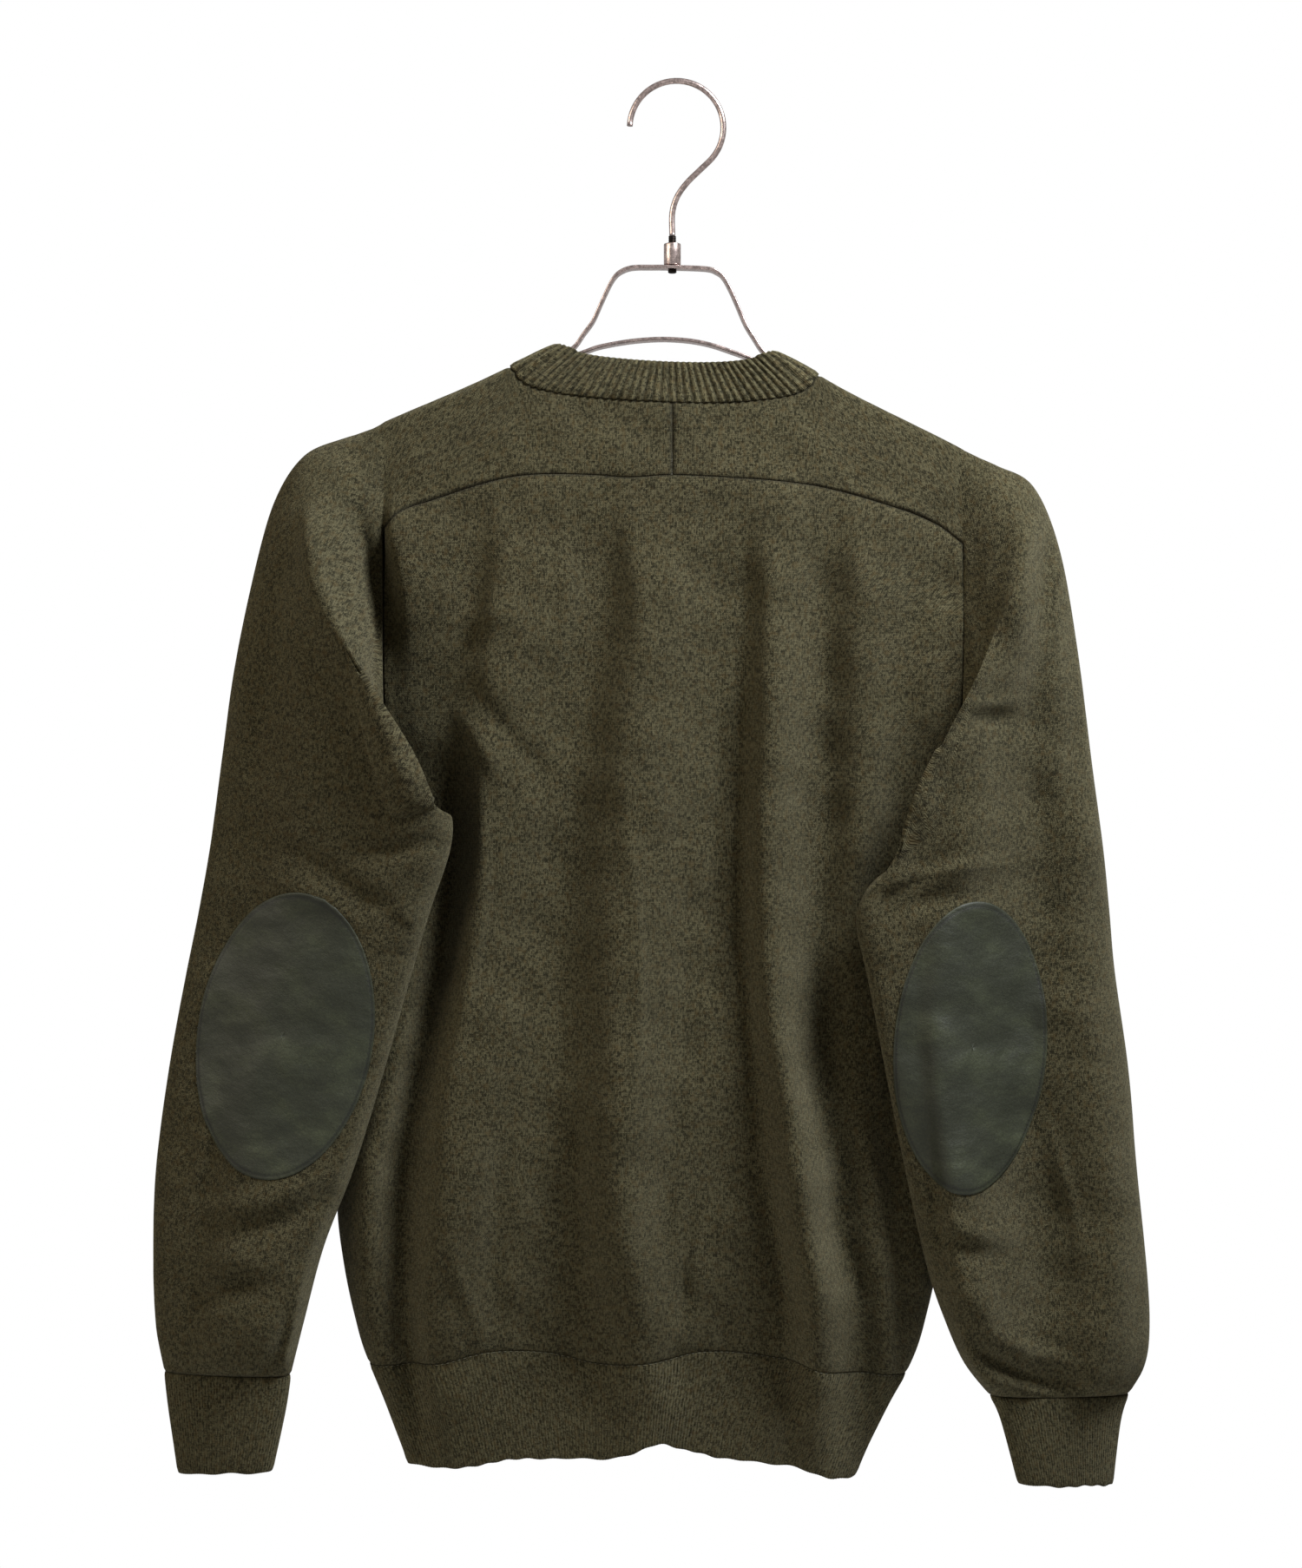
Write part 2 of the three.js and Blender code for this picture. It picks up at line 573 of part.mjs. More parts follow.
// Adds rows between the rings on a smooth curve through them.
function smoothRings(rings, rowsPerRing) {
  const rows = [];
  const at = (i) => rings[clamp(i, 0, rings.length - 1)];
  for (let r = 0; r + 1 < rings.length; r += 1) {
    for (let k = 0; k < rowsPerRing[r]; k += 1) {
      const t = k / rowsPerRing[r];
      rows.push(at(r).map((p1, i) => catmull([at(r - 1)[i], p1, at(r + 1)[i], at(r + 2)[i]], t)));
    }
  }
  rows.push(rings[rings.length - 1]);
  return rows;
}

function catmull([p0, p1, p2, p3], t) {
  const t2 = t * t;
  const t3 = t2 * t;
  return new THREE.Vector3()
    .addScaledVector(p0, (-t3 + 2 * t2 - t) / 2)
    .addScaledVector(p1, (3 * t3 - 5 * t2 + 2) / 2)
    .addScaledVector(p2, (-3 * t3 + 4 * t2 + t) / 2)
    .addScaledVector(p3, (t3 - t2) / 2);
}

function sleeveSheet(side) {
  const rings = [armhole(side), ...(side > 0 ? RIGHT_RINGS : LEFT_RINGS).map(ringPoints)];
  const sheet = new Sheet();
  const tube = smoothRings(rings, ROWS_PER_RING).map((row) => row.map((p) => sheet.add(p)));
  sheet.weave(tube, true);
  const halfSteps = SADDLE_STEPS / 2;
  const shoulder = Array.from({ length: SADDLE_STEPS + 1 },
    (_, i) => tube[0][(halfSteps - i + AROUND) % AROUND]);
  const saddle = saddleRows(side).map((row) => row.map((p) => sheet.add(p)));
  sheet.weave([...saddle, shoulder].map((row) => [...row].reverse()));
  if (side > 0) sheet.flip();
  return sheet;
}

function cuffSheet(side) {
  const last = (side > 0 ? RIGHT_RINGS : LEFT_RINGS).at(-1);
  const lowered = { ...last, outer: [...last.outer], inner: [...last.inner] };
  lowered.outer[2] -= SEAM;
  lowered.inner[2] -= SEAM;
  const rings = [lowered, ...(side > 0 ? RIGHT_CUFF : LEFT_CUFF)].map(ringPoints);
  const sheet = new Sheet();
  const rows = smoothRings(rings, [CUFF_ROWS, CUFF_ROWS]);
  sheet.weave(rows.map((row) => row.map((p) => sheet.add(p))), true);
  if (side > 0) sheet.flip();
  return sheet;
}

// The ribbed neckband: its lower edge keeps to the straight stretches of the neck seam.
function neckSheet() {
  const angles = [
    ...sideNeckAngles(1),
    ...frontNeckAngles.slice(1),
    ...sideNeckAngles(-1).map((a) => a + 2 * Math.PI).reverse().slice(1),
  ];
  const seam = angles.map((a) => drape(...neckOval(NECK_SEAM, a)));
  const lengths = [0];
  for (let i = 1; i < seam.length; i += 1) {
    lengths.push(lengths[i - 1] + seam[i].distanceTo(seam[i - 1]));
  }
  const total = lengths.at(-1);
  const sheet = new Sheet();
  const columns = 2 * NECK_RIBS;
  const lower = [];
  const upper = [];
  for (let n = 0; n < columns; n += 1) {
    const want = (total * n) / columns;
    const i = Math.max(1, lengths.findIndex((l) => l > want));
    const t = (want - lengths[i - 1]) / (lengths[i] - lengths[i - 1]);
    const angle = lerp(angles[i - 1], angles[i], t);
    const low = seam[i - 1].clone().lerp(seam[i], t);
    const high = drape(...neckOval(NECK_EDGE, angle));
    const gap = NECK_GAP / low.distanceTo(high);
    lower.push(sheet.add(low.clone().lerp(high, gap)));
    upper.push(sheet.add(high));
  }
  sheet.weave([upper, lower], true);
  return sheet;
}

// Finds the back of a sleeve under a point seen from behind.
function surfaceAt(sheet, normals, x, z) {
  let best = null;
  for (const [a, b, c] of sheet.faces) {
    const [pa, pb, pc] = [sheet.points[a], sheet.points[b], sheet.points[c]];
    const det = (pb.z - pc.z) * (pa.x - pc.x) + (pc.x - pb.x) * (pa.z - pc.z);
    const u = ((pb.z - pc.z) * (x - pc.x) + (pc.x - pb.x) * (z - pc.z)) / det;
    const v = ((pc.z - pa.z) * (x - pc.x) + (pa.x - pc.x) * (z - pc.z)) / det;
    const w = 1 - u - v;
    const y = u * pa.y + v * pb.y + w * pc.y;
    const inside = Math.abs(det) > TINY && Math.min(u, v, w) > -TINY;
    if (inside && (!best || y < best.point.y)) {
      const normal = new THREE.Vector3()
        .addScaledVector(normals[a], u)
        .addScaledVector(normals[b], v)
        .addScaledVector(normals[c], w);
      best = { point: new THREE.Vector3(x, y, z), normal: normal.normalize() };
    }
  }
  return best;
}

function patchSheet(sleeve, patch) {
  const normals = sleeve.normals();
  const lean = THREE.MathUtils.degToRad(patch.lean);
  const sheet = new Sheet();
  const place = (share, angle) => {
    const across = patch.halfWidth * share * Math.cos(angle);
    const up = patch.halfHeight * share * Math.sin(angle);
    const x = patch.x + across * Math.cos(lean) + up * Math.sin(lean);
    const z = patch.z - across * Math.sin(lean) + up * Math.cos(lean);
    const found = surfaceAt(sleeve, normals, x, z);
    return sheet.add(found.point.addScaledVector(found.normal, PATCH_LIFT + LEATHER));
  };
  const middle = place(0, 0);
  const rows = PATCH_RINGS.map((share) => Array.from({ length: PATCH_SECTORS },
    (_, i) => place(share, (2 * Math.PI * i) / PATCH_SECTORS)));
  for (let i = 0; i < PATCH_SECTORS; i += 1) {
    sheet.faces.push([middle, rows[0][i], rows[0][(i + 1) % PATCH_SECTORS]]);
  }
  for (let j = 0; j + 1 < rows.length; j += 1) {
    for (let i = 0; i < PATCH_SECTORS; i += 1) {
      const n = (i + 1) % PATCH_SECTORS;
      sheet.quad(rows[j][i], rows[j + 1][i], rows[j + 1][n], rows[j][n]);
    }
  }
  return sheet;
}

const onPlane = ([x, z]) => new THREE.Vector3(x, 0, z);

function barAlong(points, steps) {
  const section = new THREE.Shape();
  const [t, d] = [BAR_THICKNESS / 2, BAR_DEPTH / 2];
  section.moveTo(-d, -t);
  section.lineTo(d, -t);
  section.lineTo(d, t);
  section.lineTo(-d, t);
  section.closePath();
  const path = new THREE.CatmullRomCurve3(points.map(onPlane), false, 'centripetal');
  return new THREE.ExtrudeGeometry(section, { steps, bevelEnabled: false, extrudePath: path });
}

function framePoints() {
  const under = (x) => [x, shoulderTop(x) - KNIT - BAR_BELOW_CLOTH - BAR_THICKNESS / 2];
  return [...ARM_LEFT.map(under), ...FRAME_NECK, ...ARM_RIGHT.map(under)];
}

function hookGeometry() {
  const arc = Array.from({ length: HOOK_ARC_STEPS + 1 }, (_, i) => {
    const a = THREE.MathUtils.degToRad(lerp(HOOK_FROM, HOOK_TO, i / HOOK_ARC_STEPS));
    return [HOOK_CENTRE[0] + HOOK_RADIUS * Math.cos(a), HOOK_CENTRE[1] + HOOK_RADIUS * Math.sin(a)];
  });
  const corners = Array.from({ length: WIRE_SIDES }, (_, i) => {
    const a = (2 * Math.PI * i) / WIRE_SIDES;
    return new THREE.Vector2(WIRE_RADIUS * Math.cos(a), WIRE_RADIUS * Math.sin(a));
  });
  const section = new THREE.Shape(corners);
  const path = new THREE.CatmullRomCurve3([...arc, ...HOOK_STEM].map(onPlane), false, 'centripetal');
  return new THREE.ExtrudeGeometry(section, { steps: HOOK_STEPS, bevelEnabled: false, extrudePath: path });
}

function ferruleGeometry() {
  const narrow = FERRULE_RADIUS - FERRULE_BEVEL;
  const profile = [[0, FERRULE_BOTTOM], [narrow, FERRULE_BOTTOM],
    [FERRULE_RADIUS, FERRULE_BOTTOM + FERRULE_BEVEL], [FERRULE_RADIUS, FERRULE_SHOULDER - FERRULE_BEVEL],
    [narrow, FERRULE_SHOULDER], [THREAD_RADIUS, FERRULE_SHOULDER],
    [THREAD_RADIUS, FERRULE_TOP], [0, FERRULE_TOP]];
  const corners = profile.map(([r, z]) => new THREE.Vector2(r, z));
  const geometry = new THREE.LatheGeometry(corners, FERRULE_SIDES);
  geometry.rotateX(Math.PI / 2);
  geometry.translate(STEM_X, 0, 0);
  return geometry;
}

// Materials
const knit = (colour) => new THREE.MeshStandardMaterial({ color: colour, roughness: 0.95, metalness: 0 });
const olive = knit(0x45432f);
const oliveRib = knit(0x4a4636);
const leather = new THREE.MeshStandardMaterial({ color: 0x3a3a2f, roughness: 0.5, metalness: 0 });
const steel = new THREE.MeshStandardMaterial({ color: 0xa89c98, roughness: 0.25, metalness: 1 });

const sweater = new THREE.Group();

function addMesh(name, geometry, material) {
  const mesh = new THREE.Mesh(geometry, material);
  mesh.name = name;
  sweater.add(mesh);
  return mesh;
}

const sleeves = { left: sleeveSheet(-1), right: sleeveSheet(1) };
addMesh('back_panel', thicken(panelSheet(backRows, false), KNIT), olive);
addMesh('front_panel', thicken(panelSheet(frontRows, true), KNIT), olive);
addMesh('sleeve_left', thicken(sleeves.left, KNIT), olive);
addMesh('sleeve_right', thicken(sleeves.right, KNIT), olive);
const ribRaise = (i) => (Math.floor(i / 2) % 2 ? RIB_HEIGHT : 0);
addMesh('neck_rib', thicken(neckSheet(), RIB_KNIT, ribRaise), oliveRib);
addMesh('hem_rib', thicken(hemSheet(), RIB_KNIT), oliveRib);
addMesh('cuff_left', thicken(cuffSheet(-1), RIB_KNIT), oliveRib);
addMesh('cuff_right', thicken(cuffSheet(1), RIB_KNIT), oliveRib);
addMesh('elbow_patch_left', thicken(patchSheet(sleeves.left, PATCHES.left), LEATHER), leather);
addMesh('elbow_patch_right', thicken(patchSheet(sleeves.right, PATCHES.right), LEATHER), leather);
addMesh('hanger_frame', barAlong(framePoints(), FRAME_STEPS), steel);
addMesh('hanger_arch', barAlong(ARCH, ARCH_STEPS), steel);
addMesh('hanger_ferrule', ferruleGeometry(), steel);
addMesh('hanger_hook', hookGeometry(), steel);

export default sweater;
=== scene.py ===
"""A fine-knit wool sweater with leather elbow patches on a flat metal hanger, seen from behind.

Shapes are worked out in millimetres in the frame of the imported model, and each mesh is made in metres.
X runs across, +Y is the front of the garment, +Z is up, and the origin is where the hook rests.
"""

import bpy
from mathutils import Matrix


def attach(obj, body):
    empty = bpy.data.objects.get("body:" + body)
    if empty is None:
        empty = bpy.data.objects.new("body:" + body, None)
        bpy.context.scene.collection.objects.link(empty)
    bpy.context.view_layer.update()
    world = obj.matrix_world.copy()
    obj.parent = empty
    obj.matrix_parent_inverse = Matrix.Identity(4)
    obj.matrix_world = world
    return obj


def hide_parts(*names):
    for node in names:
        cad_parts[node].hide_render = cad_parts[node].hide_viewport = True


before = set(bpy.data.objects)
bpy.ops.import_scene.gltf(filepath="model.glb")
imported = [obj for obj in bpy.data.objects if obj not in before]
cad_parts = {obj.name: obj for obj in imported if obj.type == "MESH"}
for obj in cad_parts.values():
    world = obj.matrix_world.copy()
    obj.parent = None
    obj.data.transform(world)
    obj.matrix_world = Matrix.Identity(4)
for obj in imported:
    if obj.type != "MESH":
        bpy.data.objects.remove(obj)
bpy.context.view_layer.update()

import math

import bpy
import numpy as np
from bpy.props import FloatProperty, FloatVectorProperty, IntProperty, PointerProperty
from mathutils import Vector
from mathutils.bvhtree import BVHTree
from mathutils.kdtree import KDTree

bl_info = {
    "name": "Wool sweater on a hanger",
    "version": (1, 0, 0),
    "blender": (4, 5, 0),
    "location": "View3D > Sidebar > Sweater",
    "description": "Knitted sweater with ribbed bands, leather elbow patches and its hanger",
    "category": "Add Mesh",
}

MM = 0.001

# The photograph's view: what is level with the lens, and how far away the garment hangs
CAMERA_AT = (-16.3, -1800.0, -411.0)
CAMERA_LENS = 70.4
CAMERA_SENSOR = 36.0

# Thickness of each cloth, the gap at a seam, and how an open edge turns in
KNIT = 2.2
RIB_KNIT = 2.4
LEATHER = 1.2
PATCH_SUNK = 0.25
SEAM = 0.05
EDGE_ROLL = 0.7
NECK_ROLL = 0.6
FINE_ROLL = 0.5
PATCH_ROLL = 0.45
EDGE_ROLL_WIDTH = 2.6

# The fold of the cloth over the hanger's arms
SHOULDER_LINE = [
    (-232, -228), (-205, -213.5), (-164, -195), (-123, -177.5), (-93, -163.5), (-72, -154), (-40, -147),
    (-6, -146), (30, -150.5), (60, -159.5), (101, -182), (162, -212.5), (203, -235.5), (225, -248)]
FOLD_HALF_DEPTH = 10.5
FOLD_DROP = 8.0
FOLD_ARC = 14.0
SWELL = 29.0
SWELL_LENGTH = 200.0

# The body's plan, an oval that is flat front and back, and its seams
OVAL = 3.0
BODY_FLATNESS = 0.21
CENTRE_X = -4.0
ARMPIT_Z = -436.0
ARMPIT_HALF_WIDTH = 160.5
SHOULDER_SPREAD = 520.0
SPREAD_HEIGHT = 190.0
SIDES = [
    (-817, -157, 103), (-802, -160.7, 109.1), (-787, -166.3, 116.3), (-771, -172.4, 124.4),
    (-756, -178.5, 133.1), (-741, -184.6, 139.7), (-725, -189, 144.3), (-695, -195.5, 151),
    (-659, -200, 156), (-620, -199, 158), (-560, -188, 158), (-500, -176, 157), (-436, -164.5, 156.5)]
HEM_SEAM = [
    (-185, -750), (-139, -746), (-108, -739), (-77, -740), (-48, -746), (-13, -744), (15, -739.5),
    (59, -744), (90, -751), (145, -757)]
HEM_EDGE = [
    (-160, -808), (-127, -806), (-90, -801), (-50, -801), (-28, -797), (-13, -791), (2, -796),
    (40, -803), (65, -806), (90, -813), (110, -815)]
HEM_LEFT_Z = -750.0
HEM_EDGE_LEFT_Z = -808.0
YOKE_SEAM = [
    (-172, -262), (-162, -252.5), (-144, -246), (-105, -234), (-80, -231), (-50, -231.5), (-30, -233),
    (-4, -231.5), (30, -233), (60, -235), (84, -238.6), (113, -246), (149, -259), (165, -271)]
ARMHOLE = [
    (-436, -164.5, 156.5), (-420, -167, 159), (-400, -169.5, 161), (-380, -171, 163),
    (-359, -172, 164), (-320, -172.5, 165), (-250, -172, 165)]
FRONT_CORNER_S = 36.0
FRONT_ARMHOLE_DROP = 52.0
FRONT_SEAM_GAP = 0.6

# The neck seam and the free edge of its band: centre, half width, and drop at the back and the front
NECK_SEAM = (-8.5, 90.5, 48.6, 120.0)
NECK_EDGE = (-7.5, 63.0, 24.6, 93.0)

# Upright folds of the back: crests and hollows from left to right, each as (height, x, depth)
BACK_LINES = [
    [(-808, -215, 0), (-593, -200, 0), (-471, -185, -4), (-430, -178, -9), (-389, -175, -10),
     (-348, -174, -9), (-307, -173, -7), (-267, -175, -2)],
    [(-808, -165, 1), (-716, -184, 4), (-675, -187, 5), (-634, -182, 5), (-593, -172, 3), (-511, -160, 0),
     (-430, -156, -7), (-389, -156, -8), (-348, -157, -6), (-307, -160, -1), (-267, -168, 2)],
    [(-808, -152, -1), (-716, -162, -5), (-675, -163, -6), (-634, -162, -7), (-593, -156, -9),
     (-552, -149, -10), (-511, -141, -12), (-471, -136, -13), (-430, -136, -11), (-389, -138, -6),
     (-348, -134, -5), (-307, -121, -3), (-267, -123, -1)],
    [(-808, -140, 1), (-716, -145, 3), (-675, -139, 4), (-634, -135, 5), (-593, -134, 5), (-552, -125, 5),
     (-511, -122, 5), (-471, -118, 5), (-430, -113, 5), (-389, -110, 4), (-348, -108, 3), (-307, -107, 2),
     (-267, -100, 1)],
    [(-808, -62, -2), (-716, -66, -4), (-675, -68, -5), (-593, -70, -5), (-511, -70, -6), (-471, -68, -6),
     (-430, -65, -6), (-389, -58, -6), (-348, -53, -5), (-307, -44, -3), (-267, -47, -2)],
    [(-808, -19, 1), (-716, -23, 3), (-675, -32, 5), (-634, -35, 5), (-593, -35, 6), (-511, -34, 6),
     (-430, -29, 6), (-389, -28, 6), (-348, -24, 5), (-307, -21, 3), (-267, -24, 1)],
    [(-808, 8, -1), (-716, 4, -2), (-675, -5, -2), (-634, -2, -3), (-593, 5, -4), (-552, 9, -6),
     (-511, 13, -7), (-430, 18, -7), (-348, 20, -5), (-307, 27, -3), (-267, 24, -1)],
    [(-808, 62, -2), (-716, 60, -4), (-675, 52, -5), (-634, 44, -6), (-593, 42, -6), (-552, 40, -7),
     (-511, 35, -8), (-430, 34, -8), (-348, 36, -6), (-307, 38, -3), (-267, 36, -1)],
    [(-808, 84, 2), (-716, 81, 6), (-675, 75, 6), (-634, 68, 6), (-593, 63, 5), (-552, 55, 5),
     (-511, 52, 5), (-430, 50, 5), (-389, 52, 5), (-348, 53, 4), (-307, 54, 2), (-267, 56, 1)],
    [(-808, 111, -2), (-716, 108, -5), (-675, 97, -6), (-634, 95, -7), (-593, 84, -9), (-552, 83, -10),
     (-511, 83, -9), (-430, 83, -8), (-389, 83, -7), (-348, 84, -6), (-307, 85, -3), (-267, 86, -1)],
    [(-808, 125, 0), (-716, 121, -1), (-675, 114, -2), (-634, 112, -3), (-593, 106, -4), (-552, 101, -5),
     (-511, 100, -3), (-471, 102, -1), (-430, 107, 1), (-348, 106, 2), (-307, 106, 2), (-267, 106, 1)],
    [(-808, 134, -1), (-716, 130, -3), (-675, 130, -4), (-634, 126, -6), (-593, 122, -6), (-511, 118, -6),
     (-430, 128, -5), (-348, 138, -3), (-267, 150, -1)],
]
FRONT_LINES = [
    [(-808, -120, -2), (-600, -128, -8), (-430, -120, -8), (-300, -110, -2)],
    [(-808, -80, 2), (-600, -84, 6), (-430, -78, 5), (-300, -66, 1)],
    [(-808, -34, -2), (-600, -40, -6), (-430, -34, -6), (-300, -24, -2)],
    [(-808, 16, 2), (-600, 6, 7), (-430, 10, 6), (-300, 16, 2)],
    [(-808, 52, -2), (-600, 46, -6), (-430, 50, -6), (-300, 56, -2)],
    [(-808, 84, 2), (-600, 90, 6), (-430, 92, 5), (-300, 96, 1)],
    [(-808, 124, -2), (-600, 130, -8), (-430, 128, -7), (-300, 120, -2)],
]
RIGHT_LINES = [
    [(-760, 150, 0), (-675, 150, 0), (-430, 135, 0), (-348, 158, 0), (-307, 166, 0), (-250, 175, 0)],
    [(-760, 172, 3), (-675, 163, 4), (-552, 150, 3), (-430, 170, 4), (-389, 166, 4), (-348, 172, 4),
     (-307, 194, 5), (-250, 200, 1)],
    [(-760, 222, -2), (-675, 214, -5), (-552, 202, -5), (-471, 212, -5), (-430, 208, -5), (-389, 208, -4),
     (-348, 209, -4), (-307, 213, -2), (-250, 218, 0)],
    [(-760, 246, 2), (-675, 256, 4), (-552, 244, 4), (-471, 240, 4), (-430, 238, 4), (-389, 232, 3),
     (-348, 228, 3), (-307, 224, 1), (-250, 226, 0)],
]
LEFT_LINES = [
    [(-760, -290, 0), (-430, -258, 0), (-348, -245, 0), (-250, -228, 0)],
    [(-760, -272, 2), (-552, -240, 4), (-430, -216, 6), (-389, -218, 6), (-348, -222, 5),
     (-307, -228, 3), (-250, -224, 0)],
    [(-760, -236, 2), (-552, -190, 2), (-430, -152, 5), (-389, -176, 6), (-348, -195, 7), (-307, -210, 7),
     (-266, -216, 5), (-240, -214, 1)],
    [(-760, -222, 0), (-552, -150, 0), (-430, -128, 0), (-389, -150, 0), (-348, -168, -2), (-307, -182, -2),
     (-250, -188, 0)],
]
FOLD_TOP = -215.0
FOLD_STRENGTH = 1.42
FOLD_FADE = 60.0

# The folds deepen down the body, and once more in a band below the shoulders
GROWTH = 0.85
GROWTH_FROM = FOLD_TOP - 240
GROWTH_LENGTH = 260
SHOULDER_GROWTH = 0.9
SHOULDER_BAND_Z = -280
SHOULDER_BAND_HALF = 38
CREASE_STRENGTH = 1.5

# How far the cloth swells out above the hem and the cuffs: at most, over what length, and drawn back in
BACK_SWELL = (13, 115, 5)
FRONT_SWELL = (5, 115, 2)
BODY_SWELL_TOP = -470
BODY_SWELL_FADE = 130
SLEEVE_SWELL = (5, 38)
GATHER = 0.5

# Creases as seen on the photograph's plane: half width, height, how steep one side is, line of (x, z)
BACK_CREASES = [
    (6, 2.6, 0.4, [(-120, -385), (-114, -430), (-114, -480), (-122, -530), (-133, -590)]),
    (5, 2.2, 0.5, [(-133, -362), (-118, -384), (-102, -409)]),
    (5, -2.0, 1.0, [(-126, -345), (-108, -372), (-84, -400), (-70, -412)]),
    (4, 1.2, 0.5, [(-172, -313), (-130, -312), (-74, -314)]),
    (9, -1.8, 1.0, [(42, -270), (40, -400), (37, -450), (41, -570)]),
    (10, -2.0, 1.0, [(96, -262), (93, -389), (92, -450), (99, -512), (93, -573), (101, -634), (112, -695)]),
    (8, -2.6, 1.0, [(44, -560), (56, -640), (63, -695), (68, -735)]),
    (8, -2.6, 1.0, [(-103, -600), (-108, -695), (-102, -735)]),
    (8, 2.5, 1.0, [(-176, -600), (-178, -650), (-172, -700), (-162, -738)]),
    (5, 1.8, 0.6, [(-133, -660), (-128, -700), (-112, -738)]),
    (4, 1.6, 0.5, [(-30, -430), (-22, -520), (-26, -610)]),
    (5, -1.6, 1.0, [(22, -330), (24, -420), (20, -520)]),
    (4, 1.2, 0.5, [(-60, -560), (-66, -620), (-60, -700)]),
    (3, -1.6, 0.6, [(9, -640), (5, -690), (4, -738)]),
    (4, 1.3, 0.5, [(120, -500), (117, -560), (124, -630)]),
    (6, 1.4, 1.0, [(-70, -262), (-66, -300), (-72, -350)]),
    (7, 1.2, 1.0, [(140, -300), (147, -340), (143, -400)]),
]
FRONT_CREASES = [
    (5, 2.0, 0.5, [(-120, -430), (-112, -520), (-124, -600)]),
    (5, 2.0, 0.5, [(110, -430), (104, -520), (118, -610)]),
    (6, -2.0, 1.0, [(-30, -420), (-38, -560), (-44, -720)]),
    (6, -2.0, 1.0, [(52, -420), (44, -560), (38, -720)]),
    (5, 1.6, 0.6, [(-20, -300), (-4, -330), (14, -300)]),
]
LEFT_CREASES = [
    (5, -2.6, 1.0, [(-200, -450), (-168, -449), (-136, -443)]),
    (6, -2.2, 1.0, [(-232, -448), (-200, -466), (-164, -492)]),
    (5, 2.0, 0.6, [(-244, -462), (-210, -477), (-180, -498)]),
    (5, 3.2, 0.5, [(-280, -660), (-250, -656), (-228, -650), (-195, -634)]),
    (6, -3.0, 1.0, [(-282, -674), (-250, -670), (-220, -662), (-198, -650)]),
    (7, 2.4, 0.7, [(-284, -700), (-258, -690), (-226, -690)]),
    (6, -2.4, 1.0, [(-284, -716), (-262, -706), (-228, -706)]),
    (5, -3.4, 1.0, [(-226, -716), (-232, -738), (-243, -760)]),
    (6, 2.4, 1.0, [(-215, -700), (-222, -730), (-234, -757)]),
    (12, 3.5, 1.0, [(-222, -238), (-206, -268), (-188, -328), (-166, -388), (-140, -425)]),
    (9, -6.0, 1.0, [(-194, -240), (-184, -275), (-172, -330), (-158, -370)]),
    (8, 1.6, 1.0, [(-262, -330), (-256, -380), (-262, -430)]),
    (4, 1.5, 0.5, [(-168, -480), (-150, -500), (-152, -530)]),
    (5, 1.8, 0.6, [(-276, -600), (-282, -640), (-292, -665)]),
]
RIGHT_CREASES = [
    (5, -3.0, 1.0, [(106, -484), (134, -470), (166, -447)]),
    (5, 2.6, 0.5, [(106, -487), (134, -466), (170, -458), (205, -460)]),
    (5, -2.0, 1.0, [(112, -492), (150, -478), (190, -474)]),
    (5, -5.0, 0.8, [(168, -736), (190, -752), (220, -765)]),
    (6, 3.0, 0.7, [(176, -726), (204, -742), (236, -752)]),
    (10, 5.0, 1.0, [(210, -252), (207, -290), (203, -324), (196, -372)]),
    (7, -3.4, 1.0, [(193, -256), (187, -290), (185, -318), (178, -352)]),
    (9, -3.6, 1.0, [(221, -286), (228, -330), (232, -376), (235, -432)]),
    (6, 1.6, 0.6, [(240, -330), (247, -390), (249, -440)]),
    (4, 1.8, 0.5, [(160, -363), (180, -364), (202, -362)]),
    (5, -1.8, 1.0, [(165, -371), (182, -372), (200, -369)]),
    (6, 2.2, 0.7, [(148, -660), (170, -672), (204, -676)]),
    (6, -2.2, 1.0, [(150, -672), (174, -686), (208, -690)]),
    (5, 1.8, 0.6, [(214, -600), (226, -640), (240, -690)]),
    (7, 2.0, 1.0, [(160, -700), (178, -716), (196, -724)]),
]

# Sleeve rings below the armhole: outer edge, inner edge, half depth back and front, bow, tip
RIGHT_RINGS = [
    ((186, 0, -224.5), (164, -7, -441), 27, 27, 0, 3.2),
    ((207, -1, -237.5), (160, -23, -445), 32, 26, 16, 3),
    ((222, -3, -273), (149, -37, -449), 33, 19, 42, 0),
    ((232, -5, -330), (134, -44, -454), 28, 17, 46, 0),
    ((240, -7, -395), (118, -48, -461), 22, 15, 32, 0),
    ((247, -8, -447), (106, -50, -473), 18, 14, 12, 0),
    ((251, -8, -484), (101, -50, -491), 16, 14, 0, 0),
    ((254, -9, -520), (108, -49, -524), 16, 14, 0, 0),
    ((262, -9, -577), (118.5, -46, -578), 16, 14, 0, 0),
    ((266.5, -10, -632), (130, -41, -634), 16, 15, 0, 0),
    ((272.5, -10, -693), (143, -34, -690), 17, 16, 0, 0),
    ((274, -11, -727), (154, -30, -722), 18, 17, 0, 0),
    ((271, -12, -749), (165, -27, -746), 17, 16, 0, 0),
    ((261.8, -13, -766), (180, -25, -765), 12, 12, 0, 0),
]
